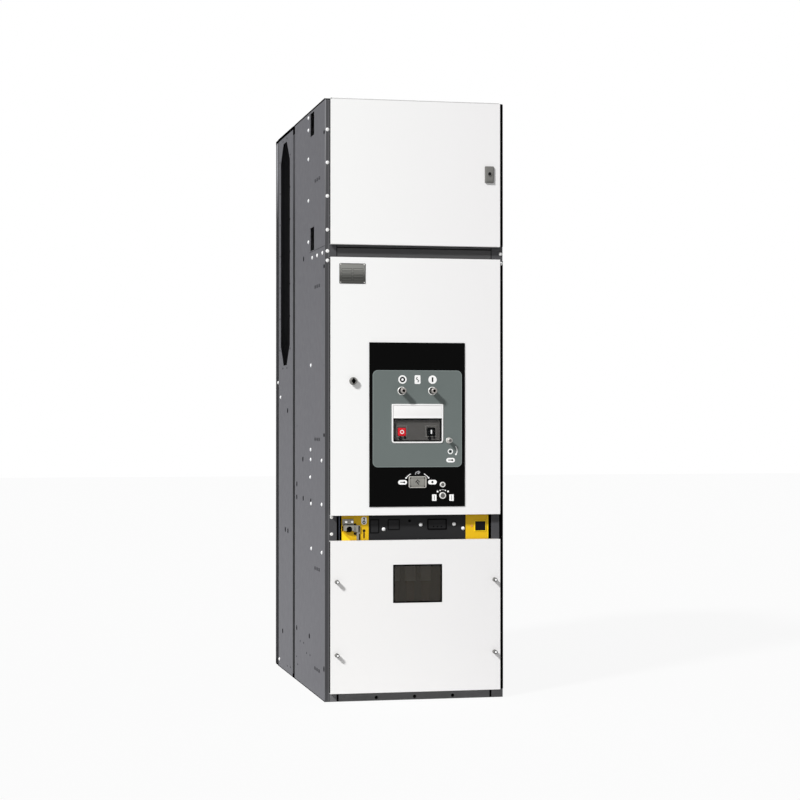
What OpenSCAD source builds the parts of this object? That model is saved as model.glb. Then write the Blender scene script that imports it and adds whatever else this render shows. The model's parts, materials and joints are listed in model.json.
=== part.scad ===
// Air-insulated switchgear cubicle: a sheet-metal cabinet with two hinged doors and a bolted cable cover.
// Units are millimetres, +Z is up, the front faces -Y, and the origin is the centre of the base on the floor.

/* [Cubicle] */
// overall width
body_w = 700; // [650:10:900]
// height from floor to roof
body_h = 2300; // [2250:10:2450]
// thickness of the sheet metal
sheet = 2.5; // [2:0.5:4]
// depth of the front section from the frame face to the joint
front_d = 725; // [600:5:900]
// depth of the rear section behind the joint
rear_d = 485; // [400:5:700]
// width of the open joint between front and rear section
joint_w = 40; // [15:1:50]
// distance from the cabinet side in to the spacers of the joint
spacer_in = 14; // [8:1:20]
// thickness of the spacers of the joint
spacer_t = 6; // [3:0.5:10]
// width of the recessed strips at the rear corners
rear_strip_w = 73; // [40:1:120]
// lap of the recessed strips behind the side panels
strip_lap = 12; // [8:1:30]
// depth of the instrument compartment
lv_d = 420; // [360:5:500]
// height of the instrument compartment's floor above the breaker door
lv_floor_up = 20; // [12:1:30]
// distance from the top of the cable cover down to the cable compartment's ceiling
ceiling_down = 15; // [10:1:30]
// margin of the relief flaps inside the roof
flap_margin = 50; // [30:1:90]
// thickness of the relief flaps
flap_t = 3; // [2:0.5:5]
// gap at the joints of the roof plates and the rear covers
plate_gap = 1; // [0.5:0.5:3]

/* [Front] */
// width of the front posts
post_w = 46; // [40:1:60]
// distance from the cabinet side to the doors
door_margin = 17; // [12:1:25]
// distance from the frame face to the front of the doors
door_proud = 28; // [26:1:40]
// gap between the back edge of a door and the frame
door_gap = 7.5; // [7:0.5:10]
// height of the plinth that shows below the cable cover
plinth_show = 33; // [25:1:60]
// height of the cable cover
cover_h = 580; // [540:5:640]
// height of the open band with the interlocks
band_h = 96; // [90:1:130]
// height of the breaker door
breaker_door_h = 984; // [940:2:1040]
// height of the beam that shows between the doors
beam_h = 49; // [35:1:70]
// height of the open line in the beam
beam_gap = 4; // [2:0.5:8]
// lap of the beam behind the edges of the doors
rail_lap = 8; // [5:1:12]
// height of the top rail
top_rail_h = 38; // [30:1:60]
// gap between the instrument door and the level of the roof
top_gap = 1; // [0.5:0.5:5]

/* [Hinges] */
// distance from the edge of a door to its hinge axis
hinge_in_x = 7; // [6:0.5:8]
// distance from the front of a door to its hinge axis
hinge_in_y = 10; // [9:0.5:11]
// distance from the ends of the instrument door to its hinges
lv_hinge_in = 90; // [70:1:120]
// distance from the ends of the breaker door to its hinges
cb_hinge_in = 120; // [90:1:150]
// radius of the eye on a hinge bracket
hinge_eye_r = 4; // [4:0.25:4.5]
// radius of the hinge pins
pin_r = 3; // [2.5:0.25:3.5]
// radial clearance of the knuckles on the pins
pin_play = 0.05; // [0.02:0.01:0.1]
// height of a hinge bracket
bracket_h = 14; // [10:1:20]
// distance from the hinge axis to the inner face of a bracket
bracket_in = 10; // [9:0.5:12]
// room above and below a bracket in the edge of a door
notch_play = 6; // [5:0.5:10]
// height of a hinge knuckle
knuckle_h = 22; // [16:1:30]
// distance from the hinge axis to the inner face of a knuckle
knuckle_in = 8; // [6:0.5:10]
// distance from the hinge axis to the back of a knuckle
knuckle_back = 7.5; // [6:0.5:9]
// gap between a knuckle and its bracket
knuckle_gap = 0.4; // [0.2:0.1:1]
// length of the pins beyond the brackets and the knuckles
pin_over = 2; // [1:0.5:4]

/* [Locks] */
// width of the instrument door's latch housing
latch_w = 35; // [28:1:45]
// height of the instrument door's latch housing
latch_h = 64; // [50:1:80]
// how far the latch housing stands out
latch_t = 12; // [8:1:16]
// distance from the edge of the instrument door to the middle of its latch
latch_in = 44; // [30:1:60]
// radius of the recess in the latch housing
recess_r = 8; // [6:0.5:12]
// depth of the recess in the latch housing
recess_d = 8; // [4:0.5:10]
// height of the recess above the middle of the latch housing
recess_up = 2; // [0:0.5:8]
// radius of the breaker door's lock
lock_r = 15; // [10:0.5:18]
// how far the breaker door's lock stands out
lock_t = 16; // [8:1:20]
// offset of the breaker door's lock from the middle between the door's edge and the black panel
lock_off = 12.25; // [-20:0.25:20]
// distance from the foot of the breaker door to its lock
lock_up = 512; // [400:1:600]
// side of the square hole in the breaker door's lock
lock_hole_w = 10; // [6:0.5:12]
// depth of the square hole in the breaker door's lock
lock_hole_d = 10.5; // [5:0.5:12]

/* [Control panel] */
// sideways offset of the breaker and its panel
panel_x = 4; // [-10:1:10]
// width of the black panel
panel_w = 375; // [340:1:420]
// height of the black panel
panel_h = 628; // [600:1:660]
// distance from the foot of the door to the black panel
panel_up = 32; // [20:1:60]
// width of the grey mimic plate
mimic_w = 350; // [320:1:370]
// height of the grey mimic plate
mimic_h = 371; // [360:1:400]
// distance from the foot of the black panel to the mimic plate
mimic_up = 151; // [140:1:170]
// corner radius of the mimic plate
mimic_r = 20; // [10:1:30]
// thickness of each of the two plates
plate_t = 3; // [2:0.5:5]
// width of the viewing frame
view_w = 202; // [190:1:230]
// height of the viewing frame
view_h = 150; // [140:1:170]
// height of the middle of the viewing frame above the foot of the mimic plate
view_up = 167; // [160:1:185]
// corner radius of the viewing frame
view_r = 8; // [4:0.5:12]
// height of the plungers above the foot of the mimic plate
plunger_up = 292; // [280:1:305]
// width of the rim of the viewing frame
view_rim = 6; // [4:0.5:10]
// thickness of the flanges that lie on the mimic plate
flange_t = 3; // [2:0.5:4]
// thickness of the viewing glass and of the white plate behind it
view_glass_t = 2; // [1.5:0.5:2.5]
// distance from the front of the viewing frame to its glass
glass_in = 0.5; // [0.2:0.1:1]
// sideways offset of the plungers from the middle of the panel
plunger_off = -2; // [-5:0.5:5]
// half the distance between the two plungers
plunger_dx = 60; // [50:1:70]
// radius of a plunger
plunger_r = 11; // [7:0.5:12]
// radius of a plunger's bush
bush_r = 16; // [14:0.5:20]
// wall of a bush behind the mimic plate
bush_wall = 2.5; // [2:0.5:4]
// radial clearance of a bush in the panel
bush_play = 0.3; // [0.1:0.1:0.5]
// length of a bush behind the sheet of the door
bush_end = 2; // [1:0.5:4]
// radial clearance of a plunger in its bush
plunger_play = 0.08; // [0.04:0.01:0.15]
// how far a plunger stands out of its bush
plunger_out = 37; // [30:1:45]
// how far the collar of a plunger stands out around it
collar_w = 2; // [1:0.5:3]
// thickness of the collar of a plunger
collar_t = 4; // [2:0.5:6]
// gap between a bush and the collar behind it
collar_gap = 1; // [0.5:0.5:2]
// sideways offset of the push buttons from the middle of the panel
button_off = -2; // [-8:0.5:5]
// half the distance between the two push buttons
button_dx = 57.5; // [50:0.5:65]
// distance from the middle of the viewing frame down to the push buttons
button_down = 32; // [28:1:40]
// distance from the middle of the viewing frame up to the white plate behind the glass
split_up = 20; // [10:1:30]
// side of a push button
button_w = 31; // [26:1:36]
// distance from the edge of the viewing frame to the middle of the charging spindle
spindle_gap = 22; // [15:0.5:30]
// height of the charging spindle above the foot of the mimic plate
spindle_up = 102; // [90:1:120]
// radius of the charging spindle
spindle_r = 9.5; // [6:0.5:12]
// how far the charging spindle stands out
spindle_out = 26; // [15:1:35]
// distance from the edge of the black panel to the key locks
key_in = 89; // [60:1:110]
// height of the upper key lock above the foot of the black panel
key_high = 84; // [72:1:100]
// height of the lower key lock above the foot of the black panel
key_low = 42; // [25:1:50]
// radius of the upper key lock
key_r = 11; // [8:0.5:14]
// radius of the lower key lock
low_key_r = 13.5; // [10:0.5:16]
// how far the key locks stand out
key_out = 8; // [4:0.5:12]
// width of the racking cover
racking_w = 70; // [50:1:90]
// height of the racking cover
racking_h = 48; // [36:1:60]
// height of the racking cover above the foot of the black panel
racking_up = 70; // [50:1:85]
// thickness of the racking cover
racking_t = 6; // [3:0.5:8]

/* [Breaker] */
// width of the breaker housing
housing_w = 330; // [260:1:400]
// height of the breaker housing
housing_h = 570; // [540:1:620]
// depth of the breaker housing
housing_d = 430; // [360:1:460]
// width of the truck
truck_w = 400; // [340:1:440]
// height of the truck
truck_h = 60; // [40:1:90]
// depth of the truck
truck_d = 455; // [400:1:500]
// distance from the frame face back to the breaker housing
housing_back = 35; // [20:1:60]
// how far the truck stands before the breaker housing
truck_lead = 10; // [5:1:15]
// width of the breaker's fascia
fascia_w = 224; // [214:1:250]
// height of the breaker's fascia
fascia_h = 186; // [170:1:200]
// how far the breaker's fascia stands before the frame face
fascia_out = 13; // [8:1:15]
// gap between the front step of the fascia and the edges of the window
fascia_gap = 5; // [5:0.5:8]
// how far a push button stands before the fascia
button_out = 4; // [2:0.5:4]
// length of a push button inside the fascia
button_in = 13; // [10:1:16]
// free space behind a push button
button_run = 7; // [6:1:10]
// clearance around a push button
button_play = 0.5; // [0.3:0.1:1]

/* [Interlock band] */
// distance from the frame face back to the interlock panel
band_back = 10; // [6:1:20]
// lap of the interlock panel behind the breaker door
band_lap = 13; // [8:1:20]
// distance from the left post to the interlock panel
band_left = 20; // [10:1:30]
// distance from the right post to the interlock panel
band_right = 9; // [5:1:30]
// thickness of the yellow plates
mark_t = 2; // [1:0.5:4]
// width of the left yellow plate
left_mark_w = 106; // [90:1:120]
// width of the right yellow plate
right_mark_w = 91; // [85:1:110]
// size of the bright corner on the left yellow plate
guide_w = 50; // [35:1:55]
// how far the bright corner stands out
guide_t = 7; // [3:0.5:7]
// width of the earthing bracket's plate
earth_w = 46; // [40:1:60]
// thickness of the earthing bracket's plate and foot
earth_t = 4; // [3:0.5:6]
// distance from the edge of the yellow plate to the earthing bracket's plate
earth_in = 3; // [1:0.5:6]
// distance from the edge of the yellow plate to the earthing bracket's lug
lug_in = 7; // [4:0.5:10]
// how far the earthing bracket's lug stands out
lug_out = 15; // [10:0.5:18]
// height of the earthing bracket's lug above the nose's foot
lug_up = 5; // [2:0.5:10]
// width of the nose beside the earthing bracket's plate
earth_nose_w = 25; // [20:1:35]
// how far the earthing bracket's nose stands out
nose_out = 7; // [5:0.5:12]
// height of the earthing bracket's nose above the cover
earth_low = 32; // [30:1:40]
// height of the earthing bracket's step above the cover
earth_mid = 57; // [50:1:65]
// height of the earthing bracket's top above the cover
earth_top = 81; // [75:1:88]
// gap between the earthing bracket's foot and the cover
foot_gap = 2; // [1:0.5:5]
// radius of the key way in the earthing bracket
earth_r = 9; // [6:0.5:12]
// height of the key way above the nose's foot
way_up = 11; // [8:1:16]
// wall left behind the key way
way_wall = 3; // [2:0.5:5]
// distance from the edge of the right yellow plate to the indicator window
eye_in = 38; // [30:1:48]
// width of the indicator window
eye_w = 40; // [30:1:44]
// height of the indicator window
eye_h = 35; // [25:1:44]
// height of the middle of the indicator window above the cover
eye_up = 50; // [40:1:60]
// how far the indicator window stands out
eye_t = 3; // [2:0.5:6]

/* [Cable cover] */
// sideways offset of the window
window_x = 6; // [-20:1:20]
// width of the window
window_w = 192; // [150:1:260]
// height of the window
window_h = 146; // [100:1:180]
// distance from the foot of the cover to the middle of the window
window_up = 414; // [380:1:440]
// overlap of the glass behind the edge of a window
glass_lap = 12; // [6:1:20]
// thickness of the window's glass
window_t = 4; // [3:0.5:6]
// distance from the edge of the cover to its fasteners
knob_in = 24; // [18:1:30]
// distance from the foot of the cover to its lower fasteners
knob_low = 147; // [100:1:180]
// distance from the foot of the cover to its upper fasteners
knob_high = 425; // [300:1:480]
// radius of a fastener
knob_r = 6; // [4:0.5:8]
// how far a fastener stands out
knob_out = 24; // [15:1:30]
// width of the flange around a fastener
knob_flange_w = 2; // [1:0.5:4]
// thickness of the flange of a fastener
knob_flange_t = 3; // [2:0.5:5]
// distance between the bars behind the window
bar_pitch = 62; // [52:1:80]
// width of a bar
bar_w = 32; // [20:1:40]
// thickness of a bar
bar_t = 10; // [6:1:14]
// length of a bar
bar_l = 245; // [180:5:300]
// distance from the frame face to the bars
bar_back = 110; // [60:1:160]
// radius of an insulator
insulator_r = 22; // [16:1:25]
// height of an insulator
insulator_h = 55; // [40:1:80]

/* [Side openings] */
// width of the wiring slots
slot_w = 92; // [60:1:110]
// height of the wiring slots
slot_h = 92; // [60:1:100]
// distance from the frame face to the wiring slots
slot_back = 245; // [200:1:280]
// height of the lower wiring slots above the instrument compartment's floor
slot_up = 29; // [20:1:40]
// distance from the roof down to the upper wiring slots
slot_down = 12; // [8:1:30]
// width of the busbar opening
bus_w = 250; // [200:1:280]
// height of the busbar opening
bus_h = 955; // [800:5:960]
// width of the flat ends of the busbar opening
bus_end_w = 95; // [60:1:140]
// height of the sloped ends of the busbar opening
bus_slope_h = 80; // [40:1:120]
// offset of the busbar opening from the middle of the rear side panel
bus_off = 15.5; // [-20:0.5:20]
// distance from the roof down to the busbar opening
bus_down = 38; // [30:1:80]
// distance from the busbar opening down to the busbar compartment's floor
bus_floor_down = 52; // [30:1:80]
// radius of the coupling holes
coupling_r = 4.5; // [3:0.5:7]
// distance from the frame face to the front coupling holes
coupling_front_in = 17; // [12:1:40]
// distance from the joint to the rear coupling holes
coupling_rear_in = 60; // [20:1:100]
// height of the lower rear coupling holes above the foot of the cover
coupling_low = 347; // [250:1:420]
// height of the upper rear coupling holes above the foot of the breaker door
coupling_high = 339; // [250:1:420]
// step between the rows of front and rear coupling holes
coupling_step = 117; // [60:1:140]

/* [Base] */
// width of the floor sills
sill_w = 60; // [50:1:80]
// thickness of the floor sills
sill_t = 4; // [3:0.5:8]
// gap between the side sills and the rear sill
sill_gap = 2; // [1:0.5:5]
// radius of the floor bolt holes
floor_hole_r = 7; // [5:0.5:9]
// distance from the cabinet side to the floor bolts
floor_in_x = 38; // [34:1:42]
// distance from the front and the rear to the floor bolts
floor_in_y = 125; // [60:5:250]
// thickness of the gland plate
gland_t = 2; // [1:0.5:4]
// lap of the gland plate on the side sills
gland_lap = 12; // [8:1:20]
// distance from the front and the rear to the gland plate
gland_in = 20; // [10:1:40]
// height of the hidden part of the plinth behind the cover
plinth_lap = 27; // [15:1:40]
// gap between the plinth and the posts
plinth_gap = 4; // [2:0.5:8]
// distance between the holes in the plinth
plinth_pitch = 150; // [120:1:200]
// height of the holes in the plinth
plinth_hole_z = 12; // [10:1:20]
// radius of the holes in the plinth
plinth_hole_r = 5; // [3:0.5:7]

/* [Hidden] */
$fn = 48;
eps = 1;
half_w = body_w / 2;
body_d = front_d + joint_w + rear_d;
floor_dx = half_w - floor_in_x;
floor_dy = body_d / 2 - floor_in_y;
in_w = half_w - sheet;
post_x = half_w - post_w;
frame_y = -body_d / 2;
skin_y = frame_y + sheet;
rear_y = body_d / 2;
back_y = rear_y - sheet;
joint_y0 = frame_y + front_d;
joint_y1 = joint_y0 + joint_w;
strip_y = rear_y - rear_strip_w;
roof_z = body_h - sheet;
door_x = half_w - door_margin;
door_y = frame_y - door_proud;
door_in_y = door_y + sheet;
door_back_y = frame_y - door_gap;
cover_z0 = plinth_show;
cover_z1 = cover_z0 + cover_h;
cb_z0 = cover_z1 + band_h;
cb_z1 = cb_z0 + breaker_door_h;
lv_z0 = cb_z1 + beam_h;
lv_z1 = body_h - top_gap;
lv_floor_z = cb_z1 + lv_floor_up;
lv_back_y = frame_y + lv_d;
cb_floor_z = cb_z0 - sheet;
ceiling_z = cover_z1 - ceiling_down;
bus_z1 = body_h - bus_down;
bus_z0 = bus_z1 - bus_h;
bus_floor_z = bus_z0 - bus_floor_down;
slot_z = [lv_floor_z + slot_up, body_h - slot_down - slot_h];
rear_split_z = body_h / 2;
gland_z = sill_t + gland_t;
band_y = frame_y + band_back;
band_z0 = ceiling_z;
band_z1 = cb_z0 + band_lap;
band_x0 = -post_x + band_left;
band_x1 = post_x - band_right;
mark_y = band_y - mark_t;
left_mark_x = band_x0 + left_mark_w;
right_mark_x = band_x1 - right_mark_w;
panel_y = door_y - plate_t;
mimic_y = panel_y - plate_t;
panel_z0 = cb_z0 + panel_up;
mimic_z0 = panel_z0 + mimic_up;
view_z = mimic_z0 + view_up;
plunger_z = mimic_z0 + plunger_up;
view_hole_w = view_w - 2 * view_rim;
view_hole_h = view_h - 2 * view_rim;
view_hole_x0 = panel_x - view_hole_w / 2;
view_hole_x1 = panel_x + view_hole_w / 2;
view_hole_z0 = view_z - view_hole_h / 2;
view_hole_z1 = view_z + view_hole_h / 2;
view_sleeve = view_rim / 2;
flange_y = mimic_y - flange_t;
glass_y = flange_y + glass_in;
glass_back_y = glass_y + view_glass_t;
split_z = view_z + split_up;
open_x = panel_x + plunger_off - plunger_dx;
close_x = panel_x + plunger_off + plunger_dx;
plunger_front_y = flange_y - plunger_out;
bush_back_y = door_in_y + bush_end;
collar_y = bush_back_y + collar_gap;
plunger_back_y = collar_y + collar_t;
button_z = view_z - button_down;
off_x = panel_x + button_off - button_dx;
on_x = panel_x + button_off + button_dx;
button_back_y = door_in_y + button_in;
fascia_y = frame_y - fascia_out;
fascia_z0 = view_z - fascia_h / 2;
fascia_z1 = view_z + fascia_h / 2;
housing_y = frame_y + housing_back;
truck_y = housing_y - truck_lead;
truck_z = cb_z0 + truck_h;
hinge_x = door_x - hinge_in_x;
hinge_y = door_y + hinge_in_y;
hinge_h = bracket_h + knuckle_h + pin_over;
lv_hinges = [lv_z0 + lv_hinge_in, lv_z1 - lv_hinge_in - hinge_h];
cb_hinges = [cb_z0 + cb_hinge_in, (cb_z0 + cb_z1 - hinge_h) / 2, cb_z1 - cb_hinge_in - hinge_h];
front_coupling_y = frame_y + coupling_front_in;
rear_coupling_y = joint_y0 - coupling_rear_in;
front_coupling_z = [cover_z0 + coupling_low + coupling_step, cb_z0 + coupling_high + 2 * coupling_step];
rear_coupling_z = [cover_z0 + coupling_low, cb_z0 + coupling_high];
window_z = cover_z0 + window_up;
latch_x = door_x - latch_in;
latch_z = (lv_z0 + lv_z1) / 2;
lock_x = (panel_x - panel_w / 2 - door_x) / 2 + lock_off;
lock_z = cb_z0 + lock_up;
spindle_x = panel_x + view_w / 2 + spindle_gap;
bus_y = (joint_y1 + strip_y) / 2 + bus_off;
bar_y = frame_y + bar_back;
bar_top_z = ceiling_z - insulator_h;
key_x = panel_x + panel_w / 2 - key_in;

// a block given by its two corners
module block(a, b) {
    translate(a) cube(b - a);
}

// a rod along Y
module rod_y(x, z, r, y0, y1) {
    translate([x, y0, z]) rotate([-90, 0, 0]) cylinder(r = r, h = y1 - y0);
}

// a rod along X
module rod_x(y, z, r, x0, x1) {
    translate([x0, y, z]) rotate([0, 90, 0]) cylinder(r = r, h = x1 - x0);
}

// a flat shape in X and Z carried from y0 to y1
module front_shape(points, y0, y1) {
    translate([0, y1, 0]) rotate([90, 0, 0]) linear_extrude(height = y1 - y0) polygon(points);
}

// a flat shape in Y and Z carried from x0 to x1
module side_shape(points, x0, x1) {
    translate([x0, 0, 0]) rotate([90, 0, 90]) linear_extrude(height = x1 - x0) polygon(points);
}

// a front plate with round corners
module round_plate(x, z, w, h, r, y0, y1) {
    block([x - w / 2 + r, y0, z - h / 2], [x + w / 2 - r, y1, z + h / 2]);
    block([x - w / 2, y0, z - h / 2 + r], [x + w / 2, y1, z + h / 2 - r]);
    for (sx = [-1, 1])
        for (sz = [-1, 1])
            rod_y(x + sx * (w / 2 - r), z + sz * (h / 2 - r), r, y0, y1);
}

// a piece on both sides
module both_sides() {
    children();
    mirror([1, 0, 0]) children();
}

// a sheet tray open to the back
module tray(z0, z1, y_back) {
    difference() {
        block([-door_x, door_y, z0], [door_x, y_back, z1]);
        block([-door_x + sheet, door_in_y, z0 + sheet], [door_x - sheet, y_back + eps, z1 - sheet]);
    }
}

// room for one hinge bracket in the left edge of a door
module hinge_notch(z) {
    block([-door_x - eps, door_in_y, z - notch_play],
          [-door_x + sheet + eps, door_back_y + eps, z + bracket_h + notch_play]);
}

// bracket and pin of a hinge on the left post
module hinge_bracket(z) {
    block([-hinge_x + hinge_eye_r, hinge_y - hinge_eye_r, z],
          [-hinge_x + bracket_in, frame_y, z + bracket_h]);
    block([-hinge_x, hinge_y - hinge_eye_r, z],
          [-hinge_x + hinge_eye_r, hinge_y + hinge_eye_r, z + bracket_h]);
    translate([-hinge_x, hinge_y, z]) cylinder(r = hinge_eye_r, h = bracket_h);
    translate([-hinge_x, hinge_y, z]) cylinder(r = pin_r, h = hinge_h);
}

// knuckle of a hinge in the left edge of a door
module hinge_knuckle(z) {
    difference() {
        block([-door_x + sheet, door_in_y, z + bracket_h + knuckle_gap],
              [-hinge_x + knuckle_in, hinge_y + knuckle_back, z + bracket_h + knuckle_gap + knuckle_h]);
        translate([-hinge_x, hinge_y, z]) cylinder(r = pin_r + pin_play, h = hinge_h + eps);
    }
}

// way through the panel and the door for the window and the plungers
module panel_cuts(y0, y1) {
    block([view_hole_x0 - view_sleeve, y0, view_hole_z0 - view_sleeve],
          [view_hole_x1 + view_sleeve, y1, view_hole_z1 + view_sleeve]);
    for (x = [open_x, close_x])
        rod_y(x, plunger_z, plunger_r + bush_wall + bush_play, y0, y1);
}

module front_plinth() {
    color([0.29, 0.29, 0.3])
    difference() {
        block([-post_x + plinth_gap, frame_y, 0], [post_x - plinth_gap, skin_y, plinth_show + plinth_lap]);
        for (i = [-1, 0, 1])
            rod_y(i * plinth_pitch, plinth_hole_z, plinth_hole_r, frame_y - eps, skin_y + eps);
    }
}

module base_sills() {
    color([0.29, 0.29, 0.3])
    difference() {
        union() {
            both_sides() block([-in_w, skin_y, 0], [-in_w + sill_w, back_y, sill_t]);
            block([-in_w + sill_w + sill_gap, back_y - sill_w, 0],
                  [in_w - sill_w - sill_gap, back_y, sill_t]);
        }
        for (sx = [-1, 1])
            for (sy = [-1, 1])
                translate([sx * floor_dx, sy * floor_dy, -eps])
                cylinder(r = floor_hole_r, h = sill_t + 2 * eps);
    }
}

module gland_plate() {
    color([0.5, 0.51, 0.52])
    block([-in_w + sill_w - gland_lap, skin_y + gland_in, sill_t],
          [in_w - sill_w + gland_lap, back_y - gland_in, gland_z]);
}

module front_posts() {
    color([0.34, 0.34, 0.35])
    both_sides() block([-half_w, frame_y, 0], [-post_x, skin_y, body_h]);
}

module front_side_left() {
    difference() {
        block([-half_w, skin_y, 0], [-in_w, joint_y0, body_h]);
        for (z = slot_z)
            block([-half_w - eps, frame_y + slot_back, z],
                  [-in_w + eps, frame_y + slot_back + slot_w, z + slot_h]);
        for (z = front_coupling_z)
            rod_x(front_coupling_y, z, coupling_r, -half_w - eps, -in_w + eps);
        for (z = rear_coupling_z)
            rod_x(rear_coupling_y, z, coupling_r, -half_w - eps, -in_w + eps);
    }
}

module front_sides() {
    color([0.46, 0.46, 0.48])
    both_sides() front_side_left();
}

module rear_side_left() {
    cy = bus_y;
    difference() {
        block([-half_w, joint_y1, 0], [-in_w, strip_y, body_h]);
        side_shape([[cy - bus_end_w / 2, bus_z0], [cy + bus_end_w / 2, bus_z0],
                    [cy + bus_w / 2, bus_z0 + bus_slope_h], [cy + bus_w / 2, bus_z1 - bus_slope_h],
                    [cy + bus_end_w / 2, bus_z1], [cy - bus_end_w / 2, bus_z1],
                    [cy - bus_w / 2, bus_z1 - bus_slope_h], [cy - bus_w / 2, bus_z0 + bus_slope_h]],
                   -half_w - eps, -in_w + eps);
    }
}

module rear_sides() {
    color([0.46, 0.46, 0.48])
    both_sides() rear_side_left();
}

module front_rails() {
    color([0.28, 0.28, 0.29]) {
        block([-post_x, frame_y, cb_z1 - rail_lap], [post_x, skin_y, lv_z0 - rail_lap - beam_gap]);
        block([-post_x, frame_y, lv_z0 - rail_lap], [post_x, skin_y, lv_z0 + rail_lap]);
        block([-post_x, frame_y, body_h - top_rail_h], [post_x, skin_y, body_h]);
    }
}

module floors() {
    color([0.55, 0.56, 0.57]) {
        block([-in_w, skin_y, lv_floor_z], [in_w, lv_back_y + sheet, lv_floor_z + sheet]);
        block([-in_w, band_y + sheet, cb_floor_z], [in_w, joint_y0 - sheet, cb_floor_z + sheet]);
        block([-in_w, band_y + sheet, ceiling_z], [in_w, joint_y0 - sheet, ceiling_z + sheet]);
        block([-in_w + sheet, joint_y1 + sheet, bus_floor_z], [in_w - sheet, back_y, bus_floor_z + sheet]);
    }
}

module lv_back() {
    color([0.55, 0.56, 0.57])
    block([-in_w, lv_back_y, lv_floor_z + sheet], [in_w, lv_back_y + sheet, roof_z]);
}

module partitions() {
    color([0.5, 0.51, 0.52]) {
        block([-in_w, joint_y0 - sheet, gland_z], [in_w, joint_y0, roof_z]);
        block([-in_w, joint_y1, gland_z], [in_w, joint_y1 + sheet, roof_z]);
    }
}

module joint_spacers() {
    color([0.12, 0.12, 0.13])
    both_sides() block([-half_w + spacer_in, joint_y0, sill_t],
                       [-half_w + spacer_in + spacer_t, joint_y1, roof_z]);
}

module roof_plates() {
    color([0.46, 0.46, 0.48]) {
        block([-in_w, skin_y, roof_z], [in_w, joint_y1 - plate_gap, body_h]);
        block([-in_w, joint_y1, roof_z], [in_w, back_y, body_h]);
    }
}

module relief_flaps() {
    color([0.45, 0.46, 0.47]) {
        block([-half_w + flap_margin, lv_back_y + flap_margin / 2, body_h],
              [half_w - flap_margin, joint_y0 - flap_margin / 2, body_h + flap_t]);
        block([-half_w + flap_margin, joint_y1 + flap_margin / 2, body_h],
              [half_w - flap_margin, back_y - flap_margin / 2, body_h + flap_t]);
    }
}

module rear_corner_strips() {
    color([0.25, 0.25, 0.26])
    both_sides() block([-in_w, strip_y - strip_lap, sill_t], [-in_w + sheet, back_y, roof_z]);
}

module rear_covers() {
    color([0.46, 0.46, 0.48]) {
        block([-in_w, back_y, 0], [in_w, rear_y, rear_split_z - plate_gap]);
        block([-in_w, back_y, rear_split_z + plate_gap], [in_w, rear_y, body_h]);
    }
}

module interlock_panel() {
    color([0.18, 0.18, 0.19])
    block([band_x0, band_y, band_z0], [band_x1, band_y + sheet, band_z1]);
}

module interlock_plates() {
    color([0.85, 0.66, 0.08]) {
        block([band_x0, mark_y, band_z0], [left_mark_x, band_y, band_z1]);
        front_shape([[band_x0, band_z0], [band_x0 + guide_w, band_z0], [band_x0, band_z0 + guide_w]],
                    mark_y - guide_t, mark_y);
        block([right_mark_x, mark_y, band_z0], [band_x1, band_y, band_z1]);
    }
}

module earthing_bracket() {
    x = band_x0;
    plate_x = x + earth_w;
    nose_x = plate_x + earth_nose_w;
    low_z = cover_z1 + earth_low;
    mid_z = cover_z1 + earth_mid;
    way_x = plate_x - 2 * earth_r;
    way_z = low_z + way_up;
    lug_y = mark_y - lug_out;
    way_y = mark_y - way_wall;
    color([0.6, 0.6, 0.58])
    difference() {
        union() {
            block([x + earth_in, mark_y - earth_t, mid_z], [plate_x, mark_y, cover_z1 + earth_top]);
            block([x + lug_in, lug_y, low_z + lug_up], [plate_x, mark_y, mid_z + eps]);
            block([plate_x, mark_y - nose_out, low_z], [nose_x, mark_y, mid_z]);
            block([plate_x + earth_nose_w / 2, mark_y - earth_t, cover_z1 + foot_gap],
                  [nose_x, mark_y, low_z + eps]);
        }
        rod_y(way_x, way_z, earth_r, lug_y - eps, way_y);
        block([way_x - earth_r, lug_y - eps, low_z], [way_x + earth_r, way_y, way_z]);
    }
}

module indicator_window() {
    color([0.06, 0.06, 0.08])
    block([right_mark_x + eye_in, mark_y - eye_t, cover_z1 + eye_up - eye_h / 2],
          [right_mark_x + eye_in + eye_w, mark_y, cover_z1 + eye_up + eye_h / 2]);
}

module cable_cover() {
    color([0.94, 0.94, 0.93])
    difference() {
        tray(cover_z0, cover_z1, frame_y);
        block([window_x - window_w / 2, door_y - eps, window_z - window_h / 2],
              [window_x + window_w / 2, door_in_y + eps, window_z + window_h / 2]);
    }
}

module cable_window() {
    color([0.2, 0.19, 0.17, 0.6])
    block([window_x - window_w / 2 - glass_lap, door_in_y, window_z - window_h / 2 - glass_lap],
          [window_x + window_w / 2 + glass_lap, door_in_y + window_t, window_z + window_h / 2 + glass_lap]);
}

module cover_knobs() {
    flange_front_y = door_y - knob_flange_t;
    color([0.6, 0.6, 0.6])
    for (x = [-door_x + knob_in, door_x - knob_in])
        for (z = [cover_z0 + knob_low, cover_z0 + knob_high]) {
            rod_y(x, z, knob_r + knob_flange_w, flange_front_y, door_y);
            rod_y(x, z, knob_r, door_y - knob_out, flange_front_y);
        }
}

module cable_insulators() {
    color([0.3, 0.27, 0.25])
    for (i = [-1, 0, 1])
        translate([window_x + i * bar_pitch, bar_y, bar_top_z]) cylinder(r = insulator_r, h = insulator_h);
}

module cable_bars() {
    color([0.5, 0.42, 0.38])
    for (i = [-1, 0, 1])
        block([window_x + i * bar_pitch - bar_w / 2, bar_y - bar_t / 2, bar_top_z - bar_l],
              [window_x + i * bar_pitch + bar_w / 2, bar_y + bar_t / 2, bar_top_z]);
}

module breaker_truck() {
    color([0.55, 0.56, 0.57])
    block([panel_x - truck_w / 2, truck_y, cb_z0], [panel_x + truck_w / 2, truck_y + truck_d, truck_z]);
}

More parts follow.
